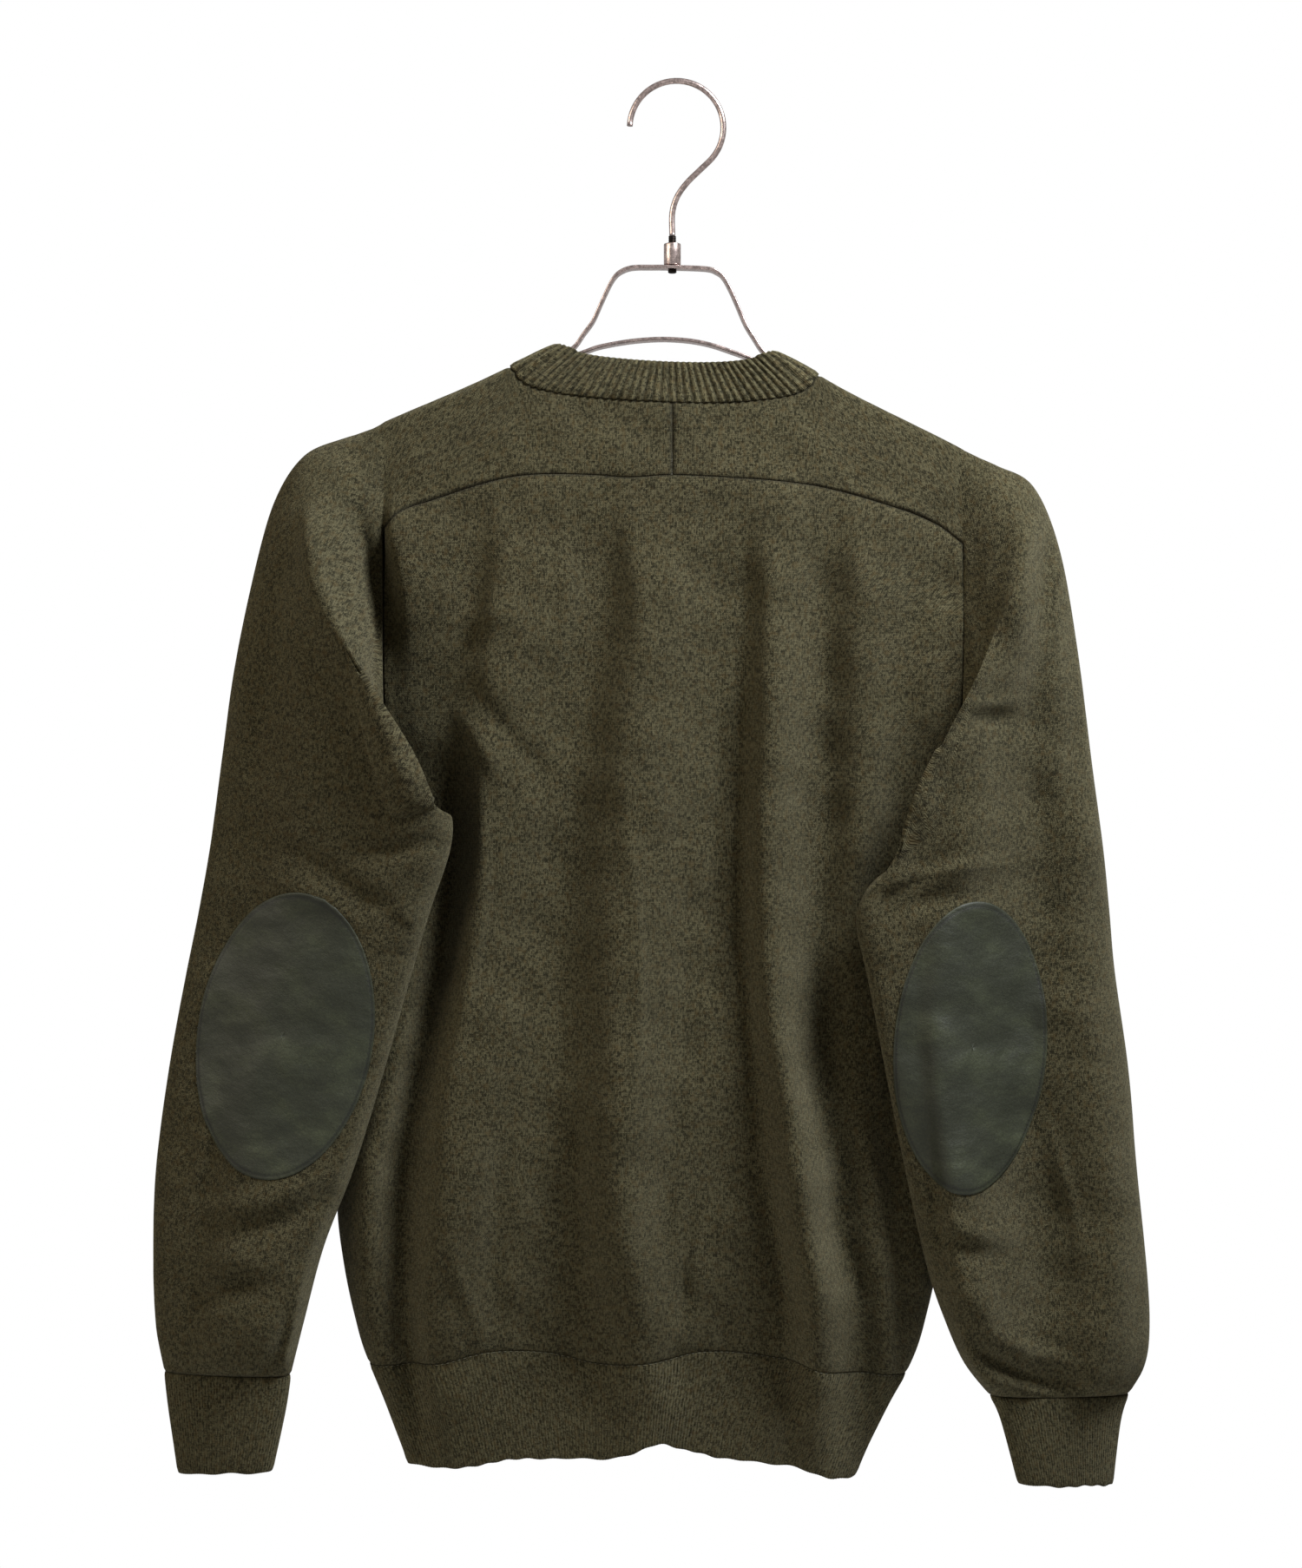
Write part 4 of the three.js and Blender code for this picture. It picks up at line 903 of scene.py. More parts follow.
def sleeve_relief(tube, side):
    """Raises the folds of a sleeve, towards the back on its back half and the front on its front."""
    turn = np.sin(ring_angles(AROUND))
    px, pz = on_photo(tube[..., 0], tube[..., 1], tube[..., 2])
    back, front = ease(turn / 0.45), ease(-turn / 0.45)
    left = side < 0
    lines = crease_height(LEFT_CREASES if left else RIGHT_CREASES, px, pz)
    lines = lines + fold_height(LEFT_LINES if left else RIGHT_LINES, px, pz)
    rough = unevenness(px, pz, 21 + side, 45, 0.9) + unevenness(px, pz, 31 + side, 20, 0.4)
    over = tube[..., 2] - tube[-1, :, 2]
    away = ease(np.linalg.norm(tube - tube[0], axis=2) / 18)
    swell = blouse(over, *SLEEVE_SWELL) + gathers(tube[..., 0], over, GATHER)
    high = (lines * (back + 0.6 * front) + rough) * away * ease(over / 10) + swell
    raised = tube.copy()
    raised[..., 1] += high * (front - back)
    return raised


def sleeve_sheet(side):
    rings = [armhole(side)] + [ring_points(r) for r in (RIGHT_RINGS if side > 0 else LEFT_RINGS)]
    tube = smooth_rings(rings, [n * ROWS_PER_STEP for n in STEPS_PER_RING])
    first = tube[0] + (tube[1] - tube[0]) * 0.3
    tube = np.concatenate([tube[:1], first[None], tube[1:]])
    tube = sleeve_relief(tube, side)
    half = SADDLE_STEPS // 2
    saddle = saddle_grid(side)
    order = (half - np.arange(SADDLE_STEPS + 1)) % AROUND
    sheet = Sheet()
    tube_numbers = sheet.add(tube)
    axis = tube[0].mean(0) - tube[-1].mean(0)
    ring = closed(np.roll(tube, AROUND // 2, 1))
    cut = cut_along(ring, axis[[0, 2]], 3 * AROUND // 4)
    sheet.weave(closed(np.roll(tube_numbers, AROUND // 2, 1)), cut)
    saddle_numbers = np.concatenate([sheet.add(saddle), tube_numbers[0][order][None]])
    cut = cut_of(np.concatenate([saddle, tube[0][order][None]]))
    sheet.weave(saddle_numbers[:, ::-1], cut[:, ::-1, ::-1])
    return sheet.finish(flip=side > 0)


def cuff_sheet(side, pitch, height):
    """A ribbed cuff, and how far each of its points is raised."""
    last = list((RIGHT_RINGS if side > 0 else LEFT_RINGS)[-1])
    last[0] = (last[0][0], last[0][1], last[0][2] - SEAM)
    last[1] = (last[1][0], last[1][1], last[1][2] - SEAM)
    rings = [ring_points(r) for r in [last] + (RIGHT_CUFF if side > 0 else LEFT_CUFF)]
    rows = smooth_rings(rings, [7, 14])
    share = np.linspace(0, 1, len(rows))[:, None]
    rows[..., 2] += ragged(rows[..., 0] + rows[..., 1], share)
    grid, phase = even_columns(rows, pitch)
    return band_sheet(grid, phase, pitch, side > 0), np.tile(rib_shape(phase) * height, len(grid))


def band_sheet(grid, phase, pitch, flip):
    """A closed band whose flat cut keeps its ribs upright."""
    ring = closed(grid)
    cut = cut_of(ring)
    cut[..., 0] = np.append(phase, round(phase[-1])) * pitch
    sheet = Sheet()
    sheet.weave(closed(sheet.add(grid)), cut)
    return sheet.finish(flip)


def even_columns(rows, pitch):
    """Divides closed rows into even columns, with so many points to each rib."""
    ring = closed(rows)
    lengths = np.concatenate([[0], np.cumsum(np.linalg.norm(np.diff(ring[0], axis=0), axis=1))])
    ribs = max(8, round(lengths[-1] / pitch))
    count = ribs * RIB_POINTS
    want = np.arange(count) / count * lengths[-1]
    grid = np.stack([np.stack([np.interp(want, lengths, row[:, k]) for k in range(3)], -1) for row in ring])
    return grid, np.arange(count) / RIB_POINTS


def rib_shape(phase):
    """A rounded rib over a narrower furrow."""
    wave = 0.5 + 0.5 * np.cos(2 * math.pi * phase)
    return wave**0.7


# The bands
def ragged(x, share):
    """How a band's free edge rises and falls a little from rib to rib."""
    small = np.sin(x / 2.3 + 2.1 * np.sin(x / 17.0))
    wide = np.sin(x / 6.1 + 1.7 * np.sin(x / 41.0))
    return (0.35 * small + 0.4 * wide) * ease((share - 0.6) / 0.4)


def hem_sheet(pitch, height):
    """The hem band, and how far each of its points is raised."""
    step = oval_steps(np.linspace(0, 1, 261))
    front_shift = 300
    rows = []
    for t in with_edge_steps(np.linspace(0, 1, 20)):
        halves = []
        for front in (False, True):
            centre, half = body_plan(HEM_LEFT_Z)
            seam_z = along(HEM_SEAM, centre + step * half) - SEAM
            centre, half = body_plan(HEM_EDGE_LEFT_Z)
            edge_z = along(HEM_EDGE, centre + step * half)
            z = lerp(seam_z, edge_z, t)
            centre, half = body_plan(z)
            points = body_point(centre + step * half, z, front)
            points[:, 2] += ragged(points[:, 0] + (front_shift if front else 0), t)
            halves.append(points)
        rows.append(np.concatenate([halves[0], halves[1][1:-1][::-1]]))
    grid, phase = even_columns(np.array(rows), pitch)
    return band_sheet(grid, phase, pitch, False), np.tile(rib_shape(phase) * height, len(grid))


def neck_sheet(pitch, height):
    """The neckband, and how far each of its points is raised."""
    angles = np.linspace(-math.pi / 2, 1.5 * math.pi, 721)[:-1]
    x0, s0 = neck_oval(NECK_SEAM, angles)
    x1, s1 = neck_oval(NECK_EDGE, angles)
    off_seam = 0.004
    rows = []
    for t in with_edge_steps(np.linspace(off_seam, 1, 13)):
        rows.append(drape(lerp(x0, x1, t), lerp(s0, s1, t)))
    grid, phase = even_columns(np.array(rows)[::-1], pitch)
    return band_sheet(grid, phase, pitch, False), np.tile(rib_shape(phase) * height, len(grid))


# Elbow patches: which row of a patch, counted from its edge, lies in the stitched furrow
IN_FURROW = -5
FURROW_DEPTH = 0.3
FURROW_FROM_EDGE = 1.9
FURROW_HALF = 0.7


def surface_of(piece):
    points = [v.co for v in piece.data.vertices]
    faces = [tuple(p.vertices) for p in piece.data.polygons]
    return BVHTree.FromPolygons(points, faces)


def patch_sheet(sleeve, side, lift):
    """A leather oval laid on the back of a sleeve, with a stitched furrow inside its edge."""
    x0, z0, half_width, half_height, lean = PATCHES["right" if side > 0 else "left"]
    lean = math.radians(lean)
    tree = surface_of(sleeve)
    sectors = 168
    shares = np.concatenate([np.linspace(0, 0.88, 26), [0.91, 0.935, 0.95, 0.96, 0.968, 0.976, 0.986, 1.0]])
    angle = 2 * math.pi * np.arange(sectors) / sectors
    grid = np.zeros((len(shares), sectors, 3))
    for j, share in enumerate(shares):
        across = half_width * share * np.cos(angle)
        up = half_height * share * np.sin(angle)
        x = x0 + across * math.cos(lean) + up * math.sin(lean)
        z = z0 - across * math.sin(lean) + up * math.cos(lean)
        for i in range(sectors):
            start = Vector((x[i] * MM, -0.3, z[i] * MM))
            hit, normal, _, _ = tree.ray_cast(start, Vector((0, 1, 0)))
            if hit is None:
                raise RuntimeError(f"the sleeve doesn't reach under the patch at {x[i]:.0f}, {z[i]:.0f}")
            normal = -normal if normal.y > 0 else normal
            grid[j, i] = np.array(hit) / MM + np.array(normal) * lift
    smooth = grid.copy()
    for _ in range(3):
        inner = smooth[1:-1]
        smooth[1:-1] = (inner * 2 + smooth[:-2] + smooth[2:]
                        + np.roll(inner, 1, 1) + np.roll(inner, -1, 1)) / 6
    grid = smooth
    grid[0] = grid[1].mean(0)
    flat_x = np.outer(shares, half_width * np.cos(angle))
    flat_z = np.outer(shares, half_height * np.sin(angle))
    cut = np.stack([flat_x, flat_z], -1)
    sheet = Sheet()
    sheet.weave(closed(sheet.add(grid)), closed(cut))
    sheet.finish(flip=False)
    edge = (1 - shares) * (half_width + half_height) / 2
    # The furrow's depth sinks the leather and also paints shade into it through the raise layer.
    furrow = -FURROW_DEPTH * np.exp(-(((edge - FURROW_FROM_EDGE) / FURROW_HALF) ** 2))
    return sheet, np.repeat(furrow, sectors), grid


def stitch_row(name, points, normals, length, gap, radius, lift):
    """A row of short stitches along a line: small rounded bars that dip in at both ends."""
    steps = np.linalg.norm(np.diff(points, axis=0), axis=1)
    at = np.concatenate([[0], np.cumsum(steps)])
    pace = length + gap
    count = int(at[-1] // pace)
    sides = 6
    bends = np.array([0.0, 0.25, 0.5, 0.75, 1.0])
    lows = np.array([-0.9, 0.25, 0.5, 0.25, -0.9]) * radius
    sizes = np.array([0.55, 0.95, 1.0, 0.95, 0.55]) * radius
    turn = 2 * math.pi * np.arange(sides) / sides
    all_points, all_faces = [], []
    for k in range(count):
        want = k * pace + gap / 2 + bends * length
        spine = np.stack([np.interp(want, at, points[:, i]) for i in range(3)], -1)
        up = np.stack([np.interp(want, at, normals[:, i]) for i in range(3)], -1)
        up /= np.linalg.norm(up, axis=1, keepdims=True)
        forward = np.gradient(spine, axis=0)
        forward /= np.linalg.norm(forward, axis=1, keepdims=True)
        aside = np.cross(forward, up)
        spine = spine + up * (lows + lift)[:, None]
        ring = (spine[:, None] + aside[:, None] * (np.cos(turn)[None, :, None] * sizes[:, None, None])
                + up[:, None] * (np.sin(turn)[None, :, None] * sizes[:, None, None]))
        base = len(all_points) * ring.shape[0] * sides
        numbers = base + np.arange(ring.shape[0] * sides).reshape(-1, sides)
        all_points.append(ring.reshape(-1, 3))
        all_faces.extend(corners_of(closed(numbers)).tolist())
        all_faces.append(numbers[0][::-1].tolist())
        all_faces.append(numbers[-1].tolist())
    return mesh_object(name, np.concatenate(all_points), all_faces)


# Metal parts
def swept(name, line, section):
    """Sweeps a section along a line that lies in the plane y = 0, with closed ends."""
    line = np.asarray(line, float)
    forward = np.gradient(line, axis=0)
    forward /= np.linalg.norm(forward, axis=1, keepdims=True)
    side = np.stack([-forward[:, 1], forward[:, 0]], -1)
    rows = []
    for point, out in zip(line, side):
        x = point[0] + out[0] * section[:, 1]
        z = point[1] + out[1] * section[:, 1]
        rows.append(np.stack([x, section[:, 0], z], -1))
    grid = np.array(rows)
    numbers = np.arange(grid.shape[0] * grid.shape[1]).reshape(grid.shape[:2])
    faces = corners_of(closed(numbers)).tolist()
    faces.append(numbers[0][::-1].tolist())
    faces.append(numbers[-1].tolist())
    cut = cut_of(closed(grid))
    cuts = corners_of(cut).reshape(-1, 2).tolist()
    cuts += cut[0, :-1][::-1].tolist() + cut[-1, :-1].tolist()
    piece = mesh_object(name, grid.reshape(-1, 3), faces, cuts)
    piece.data.validate()
    return piece


def bar_section():
    """A flat strip with rounded edges, as depth and thickness."""
    d, t = BAR_DEPTH / 2, BAR_THICKNESS / 2
    corner = 0.7
    turn = np.linspace(0, math.pi / 2, 5)
    quarter = np.stack([d - corner + corner * np.cos(turn), t - corner + corner * np.sin(turn)], -1)
    mirrored = quarter[::-1] * [-1, 1]
    return np.concatenate([quarter, mirrored, -quarter, mirrored * -1])


def wire_section(radius, sides=20):
    turn = 2 * math.pi * np.arange(sides) / sides
    return np.stack([radius * np.cos(turn), radius * np.sin(turn)], -1)


def frame_line():
    def under(xs):
        x = np.array(xs, float)
        z = shoulder_top(x) - KNIT - BAR_BELOW_CLOTH - BAR_THICKNESS / 2
        return list(zip(x, z))
    return smooth_line(under(ARM_LEFT) + FRAME_NECK + under(ARM_RIGHT), 8)


def hook_line():
    turns = np.radians(np.linspace(HOOK_FROM, HOOK_TO, 40))
    arc = [(HOOK_CENTRE[0] + HOOK_RADIUS * math.cos(a), HOOK_CENTRE[1] + HOOK_RADIUS * math.sin(a))
           for a in turns]
    return np.concatenate([np.array(arc[:-1]), smooth_line([arc[-1]] + HOOK_STEM, 10)])


def turned(name, profile, x, sides=40):
    """A turned piece about an upright axis: profile is radius and height, from the bottom up."""
    turn = 2 * math.pi * np.arange(sides) / sides
    grid = np.stack([np.stack([x + r * np.cos(turn), r * np.sin(turn), np.full(sides, z)], -1)
                     for r, z in profile])
    numbers = np.arange(grid.shape[0] * sides).reshape(-1, sides)
    faces = corners_of(closed(numbers))[:, ::-1].tolist()
    faces.append(numbers[0].tolist()[::-1])
    faces.append(numbers[-1].tolist())
    return mesh_object(name, grid.reshape(-1, 3), faces)


# Materials
class Graph:
    """Short calls for building a material's nodes."""

    def __init__(self, name):
        self.material = bpy.data.materials.new(name)
        self.material.use_nodes = True
        self.nodes = self.material.node_tree.nodes
        self.links = self.material.node_tree.links
        self.shader = self.nodes["Principled BSDF"]

    def put(self, socket, value):
        if isinstance(value, bpy.types.NodeSocket):
            self.links.new(value, socket)
        else:
            socket.default_value = value

    def math(self, operation, a, b=0.0, c=0.0):
        node = self.nodes.new("ShaderNodeMath")
        node.operation = operation
        for socket, value in zip(node.inputs, (a, b, c)):
            self.put(socket, value)
        return node.outputs[0]

    def mix(self, share, a, b, blend="MIX"):
        node = self.nodes.new("ShaderNodeMix")
        node.data_type = "RGBA"
        node.blend_type = blend
        self.put(node.inputs[0], share)
        self.put(node.inputs[6], a)
        self.put(node.inputs[7], b)
        return node.outputs[2]

    def place(self, across=1.0, down=1.0):
        """The flat cut in millimetres, stretched by two factors."""
        node = self.nodes.new("ShaderNodeUVMap")
        node.uv_map = "cut"
        scale = self.nodes.new("ShaderNodeVectorMath")
        scale.operation = "MULTIPLY"
        self.links.new(node.outputs[0], scale.inputs[0])
        scale.inputs[1].default_value = (across / MM, down / MM, 1)
        return scale.outputs[0]

    def split(self, vector):
        node = self.nodes.new("ShaderNodeSeparateXYZ")
        self.links.new(vector, node.inputs[0])
        return node.outputs[0], node.outputs[1]

    def object_place(self):
        node = self.nodes.new("ShaderNodeTexCoord")
        scale = self.nodes.new("ShaderNodeVectorMath")
        scale.operation = "SCALE"
        self.links.new(node.outputs["Object"], scale.inputs[0])
        scale.inputs[3].default_value = 1 / MM
        return scale.outputs[0]

    def raised(self):
        """How high a point stands, from 0 in a furrow or seam to 1; the materials paint shade into the low
        points by it.
        """
        node = self.nodes.new("ShaderNodeAttribute")
        node.attribute_name = "raise"
        return node.outputs["Fac"]

    def noise(self, vector, scale, detail=2.0, rough=0.5):
        node = self.nodes.new("ShaderNodeTexNoise")
        self.links.new(vector, node.inputs["Vector"])
        node.inputs["Scale"].default_value = scale
        node.inputs["Detail"].default_value = detail
        node.inputs["Roughness"].default_value = rough
        return node.outputs[0]

    def white(self, a, b):
        join = self.nodes.new("ShaderNodeCombineXYZ")
        self.put(join.inputs[0], a)
        self.put(join.inputs[1], b)
        node = self.nodes.new("ShaderNodeTexWhiteNoise")
        self.links.new(join.outputs[0], node.inputs["Vector"])
        return node.outputs["Value"]

    def ramp(self, value, low, high):
        node = self.nodes.new("ShaderNodeMapRange")
        node.interpolation_type = "SMOOTHSTEP"
        self.put(node.inputs[0], value)
        node.inputs[1].default_value = low
        node.inputs[2].default_value = high
        return node.outputs[0]

    def bump(self, height, strength, distance, normal=None):
        node = self.nodes.new("ShaderNodeBump")
        node.inputs["Strength"].default_value = strength
        node.inputs["Distance"].default_value = distance * MM
        self.links.new(height, node.inputs["Height"])
        if normal is not None:
            self.links.new(normal, node.inputs["Normal"])
        return node.outputs[0]

    def grey(self, value):
        """Turns a number into a grey colour."""
        join = self.nodes.new("ShaderNodeCombineColor")
        for socket in join.inputs:
            self.links.new(value, socket)
        return join.outputs[0]


def linear(colour):
    """A colour as it is shown, turned into the linear colour that a shader takes."""
    return tuple(c / 12.92 if c <= 0.04045 else ((c + 0.055) / 1.055) ** 2.4 for c in colour) + (1.0,)


def knit_height(graph, wale, course):
    """The height of plain knitting: each wale is a column of V-shaped stitches."""
    across, down = graph.split(graph.place())
    column = graph.math("DIVIDE", across, wale)
    inside = graph.math("SUBTRACT", graph.math("FRACT", column), 0.5)
    leg = graph.math("ABSOLUTE", inside)
    row = graph.math("ADD", graph.math("DIVIDE", down, course), graph.math("MULTIPLY", leg, -1.5))
    loop = graph.math("SINE", graph.math("MULTIPLY", row, 2 * math.pi))
    round_leg = graph.math("SINE", graph.math("MULTIPLY", leg, 2 * math.pi))
    height = graph.math("MULTIPLY", round_leg, graph.math("MULTIPLY_ADD", loop, 0.28, 0.72))
    cell = graph.white(graph.math("FLOOR", column), graph.math("FLOOR", row))
    return height, cell


def wool(name, knit, wale, depth, furrow_shade, darkening):
    """Melange wool: mixed fibres, knitted stitches, a soft bloom of loose hairs, and painted shade.

    The furrow share is how much darker a furrow or seam is painted than a rib, as painted shade, and
    darkening is how much of that lies below the plain cloth's own colour; the rest paints the ribs' tops
    lighter, as painted light.
    """
    graph = Graph(name)
    height, cell = knit_height(graph, wale, knit.course / MM)
    streaks = graph.noise(graph.place(1.5, 0.3), 1.0, 2.0, 0.5)
    weft = graph.noise(graph.place(0.35, 1.7), 1.0, 1.0, 0.5)
    hairs = graph.noise(graph.place(2.2, 1.5), 1.0, 3.0, 0.6)
    patches = graph.noise(graph.place(0.02, 0.03), 1.0, 2.0, 0.5)
    tint = graph.noise(graph.place(0.3, 0.22), 1.0, 3.0, 0.6)
    mixed = graph.math("ADD", graph.math("MULTIPLY", streaks, 0.4), graph.math("MULTIPLY", hairs, 0.3))
    mixed = graph.math("ADD", mixed, graph.math("MULTIPLY", weft, 0.2))
    mixed = graph.math("ADD", mixed, graph.math("MULTIPLY", cell, 0.12))
    fleck = graph.ramp(mixed, 0.41, 0.61)
    colour = graph.mix(fleck, linear(knit.dark), linear(knit.light))
    colour = graph.mix(graph.math("MULTIPLY", graph.ramp(tint, 0.48, 0.7), 0.55), colour, linear(knit.warm))
    shade = graph.math("MULTIPLY_ADD", patches, 0.3, 0.85)
    # Painted shade: the stitches' hollows are darkened by the knit's height, and their tops are painted a
    # little lighter.
    furrow = graph.math("MULTIPLY_ADD", height, 0.35, 0.72)
    # Painted shade in rib furrows and seams from the raise layer; with darkening below 1 the ribs' tops are
    # painted lighter, as painted light.
    rib = graph.math("MULTIPLY_ADD", graph.raised(), furrow_shade, 1 - furrow_shade * darkening)
    furrow = graph.math("MULTIPLY", furrow, rib)
    colour = graph.mix(1.0, colour, graph.grey(graph.math("MULTIPLY", shade, furrow)), "MULTIPLY")
    graph.put(graph.shader.inputs["Base Color"], colour)
    graph.shader.inputs["Roughness"].default_value = 0.92
    graph.shader.inputs["Specular IOR Level"].default_value = 0.12
    graph.shader.inputs["Sheen Weight"].default_value = knit.bloom
    graph.shader.inputs["Sheen Roughness"].default_value = 0.45
    graph.shader.inputs["Sheen Tint"].default_value = linear((0.75, 0.72, 0.6))
    fuzz = graph.noise(graph.place(1.6, 1.6), 1.0, 4.0, 0.7)
    rough = graph.bump(fuzz, 0.5, 0.35)
    normal = graph.bump(height, 0.75, depth, rough)
    graph.put(graph.shader.inputs["Normal"], normal)
    return graph.material


def leather(name, settings):
    """Thin, soft, dark leather with a fine grain, rubbed paler in places, with painted shade in its
    stitched furrow.
    """
    graph = Graph(name)
    vector = graph.place()
    grain = graph.nodes.new("ShaderNodeTexVoronoi")
    grain.feature = "DISTANCE_TO_EDGE"
    graph.links.new(vector, grain.inputs["Vector"])
    grain.inputs["Scale"].default_value = 0.7
    cells = graph.ramp(grain.outputs["Distance"], 0.0, 0.16)
    worn = graph.noise(graph.place(0.035, 0.05), 1.0, 4.0, 0.55)
    fine = graph.noise(vector, 0.75, 3.0, 0.6)
    base = linear(tuple(settings.colour))
    rubbed = linear(tuple(min(c * 1.4, 1) for c in settings.colour))
    colour = graph.mix(graph.ramp(worn, 0.42, 0.72), base, rubbed)
    dim = graph.math("MULTIPLY_ADD", cells, 0.2, 0.8)
    dim = graph.math("MULTIPLY", dim, graph.math("MULTIPLY_ADD", fine, 1.3, 0.35))
    # Painted shade: the stitched furrow is darkened by the raise layer.
    dim = graph.math("MULTIPLY", dim, graph.math("MULTIPLY_ADD", graph.raised(), 0.5, 0.5))
    colour = graph.mix(1.0, colour, graph.grey(dim), "MULTIPLY")
    graph.put(graph.shader.inputs["Base Color"], colour)
    gloss = graph.math("MULTIPLY_ADD", worn, -0.16, settings.roughness + 0.08)
    graph.put(graph.shader.inputs["Roughness"], graph.math("ADD", gloss, graph.math("MULTIPLY", fine, 0.1)))
    graph.shader.inputs["Specular IOR Level"].default_value = 0.36
    dents = graph.noise(graph.place(0.05, 0.06), 1.0, 3.0, 0.5)
    first = graph.bump(dents, 0.6, 3.0)
    second = graph.bump(cells, 0.35, 0.12, first)
    graph.put(graph.shader.inputs["Normal"], graph.bump(fine, 0.6, 0.25, second))
    return graph.material


def thread(name, colour):
    """Twisted sewing thread."""
    graph = Graph(name)
    vector = graph.object_place()
    strands = graph.noise(vector, 3.0, 3.0, 0.6)
    dull = linear(tuple(c * 0.7 for c in colour))
    graph.put(graph.shader.inputs["Base Color"], graph.mix(strands, dull, linear(colour)))
    graph.shader.inputs["Roughness"].default_value = 0.75
    graph.put(graph.shader.inputs["Normal"], graph.bump(strands, 0.5, 0.1))
    return graph.material


def metal(name, colour, roughness):
    """Worn bright plating, rubbed along its length."""
    graph = Graph(name)
    vector = graph.object_place()
    rubs = graph.noise(vector, 0.5, 5.0, 0.65)
    spots = graph.noise(vector, 2.2, 3.0, 0.5)
    dull = linear(tuple(c * 0.72 for c in colour))
    colour = graph.mix(graph.ramp(rubs, 0.35, 0.7), dull, linear(colour))
    graph.put(graph.shader.inputs["Base Color"], colour)
    graph.shader.inputs["Metallic"].default_value = 1.0
    graph.put(graph.shader.inputs["Roughness"], graph.math("MULTIPLY_ADD", rubs, 0.16, roughness - 0.06))
    graph.put(graph.shader.inputs["Normal"], graph.bump(spots, 0.12, 0.05))
    return graph.material


# Settings
class KnitSettings(bpy.types.PropertyGroup):
    """Sizes and colours of the knitted cloth"""

    wale: FloatProperty(name="Wale", description="Width of one column of stitches",
                        default=1.4 * MM, unit="LENGTH", precision=5)
    course: FloatProperty(name="Course", description="Height of one row of stitches",
                          default=1.05 * MM, unit="LENGTH", precision=5)
    bloom: FloatProperty(name="Bloom", description="Soft sheen of the wool's loose hairs",
                         default=0.22, min=0, max=1, subtype="FACTOR")
    dark: FloatVectorProperty(name="Dark fibre", description="Dark olive fibres",
                              default=(0.125, 0.117, 0.068), size=3, min=0, max=1, subtype="COLOR_GAMMA")
    light: FloatVectorProperty(name="Pale fibre", description="Grey-green fibres",
                               default=(0.37, 0.35, 0.26), size=3, min=0, max=1, subtype="COLOR_GAMMA")
    warm: FloatVectorProperty(name="Warm fibre", description="Brown fibres", default=(0.3, 0.25, 0.15),
                              size=3, min=0, max=1, subtype="COLOR_GAMMA")


class RibSettings(bpy.types.PropertyGroup):
    """Pitch and height of the ribbed bands"""

    neck_pitch: FloatProperty(name="Neck pitch", description="From one rib of the neckband to the next",
                              default=3.4 * MM, unit="LENGTH", precision=5)
    hem_pitch: FloatProperty(name="Hem pitch", description="From one rib of the hem to the next",
                             default=2.1 * MM, unit="LENGTH", precision=5)
    cuff_pitch: FloatProperty(name="Cuff pitch", description="From one rib of a cuff to the next",
                              default=1.9 * MM, unit="LENGTH", precision=5)
    neck_height: FloatProperty(name="Neck height", description="How far a neckband rib stands up",
                               default=1.2 * MM, unit="LENGTH", precision=5)
    fine_height: FloatProperty(name="Fine height", description="How far a hem or cuff rib stands up",
                               default=0.35 * MM, unit="LENGTH", precision=5)
    wale: FloatProperty(name="Wale", description="Width of one column of stitches in a band",
                        default=1.2 * MM, unit="LENGTH", precision=5)


class LeatherSettings(bpy.types.PropertyGroup):
    """Looks of the elbow patches"""

    colour: FloatVectorProperty(name="Leather", description="Dark green-grey leather",
                                default=(0.165, 0.176, 0.128), size=3, min=0, max=1, subtype="COLOR_GAMMA")
    roughness: FloatProperty(name="Roughness", description="How matt the leather is",
                             default=0.5, min=0, max=1, subtype="FACTOR")
    stitch: FloatProperty(name="Stitch", description="Length of one stitch along the patch's edge",
                          default=1.9 * MM, unit="LENGTH", precision=5)


class HangerSettings(bpy.types.PropertyGroup):
    """Looks of the hanger"""

    colour: FloatVectorProperty(name="Metal", description="Worn bright plating", default=(0.86, 0.78, 0.76),
                                size=3, min=0, max=1, subtype="COLOR_GAMMA")
    roughness: FloatProperty(name="Roughness", description="How dull the plating is", default=0.24,
                             min=0, max=1, subtype="FACTOR")
    bolt_sides: IntProperty(name="Bolt sides", description="Sides of the bolt's end", default=24, min=6)


class StageSettings(bpy.types.PropertyGroup):
    """Light and floor"""

    floor_drop: FloatProperty(name="Floor", description="How far the floor lies below the hook's rail",
                              default=1.1, unit="LENGTH")
    key_power: FloatProperty(name="Key light", description="Power of the light at the upper right",
                             default=31.0, unit="POWER")
    side_power: FloatProperty(name="Side light", description="Power of the light at the left",
                              default=12.0, unit="POWER")
    sky: FloatProperty(name="Sky", description="Brightness of the warm surroundings", default=0.11, min=0)


def settings():
    return bpy.context.scene.sweater


class SweaterSettings(bpy.types.PropertyGroup):
    """All settings of the sweater"""

    knit: PointerProperty(type=KnitSettings)
    rib: PointerProperty(type=RibSettings)
    leather: PointerProperty(type=LeatherSettings)
    hanger: PointerProperty(type=HangerSettings)
    stage: PointerProperty(type=StageSettings)


def plain_knit():
    """The knit of panels and sleeves, made once."""
    knit = settings().knit
    name = "melange_knit"
    # This knit paints the seams darker, as painted shade, through the raise layer.
    return bpy.data.materials.get(name) or wool(name, knit, knit.wale / MM, 0.45, 0.75, 1.0)


# Pieces
class SWEATER_OT_panels(bpy.types.Operator):
    """Makes the back and front panels"""

    bl_idname = "sweater.panels"
    bl_label = "Back and front panels"

    def execute(self, context):
        for name, front in (("back_panel", False), ("front_panel", True)):
            piece = shell(name + "_cloth", panel_sheet(front), KNIT)
            finish_piece(piece, plain_knit(), "knit", name)
        return {"FINISHED"}


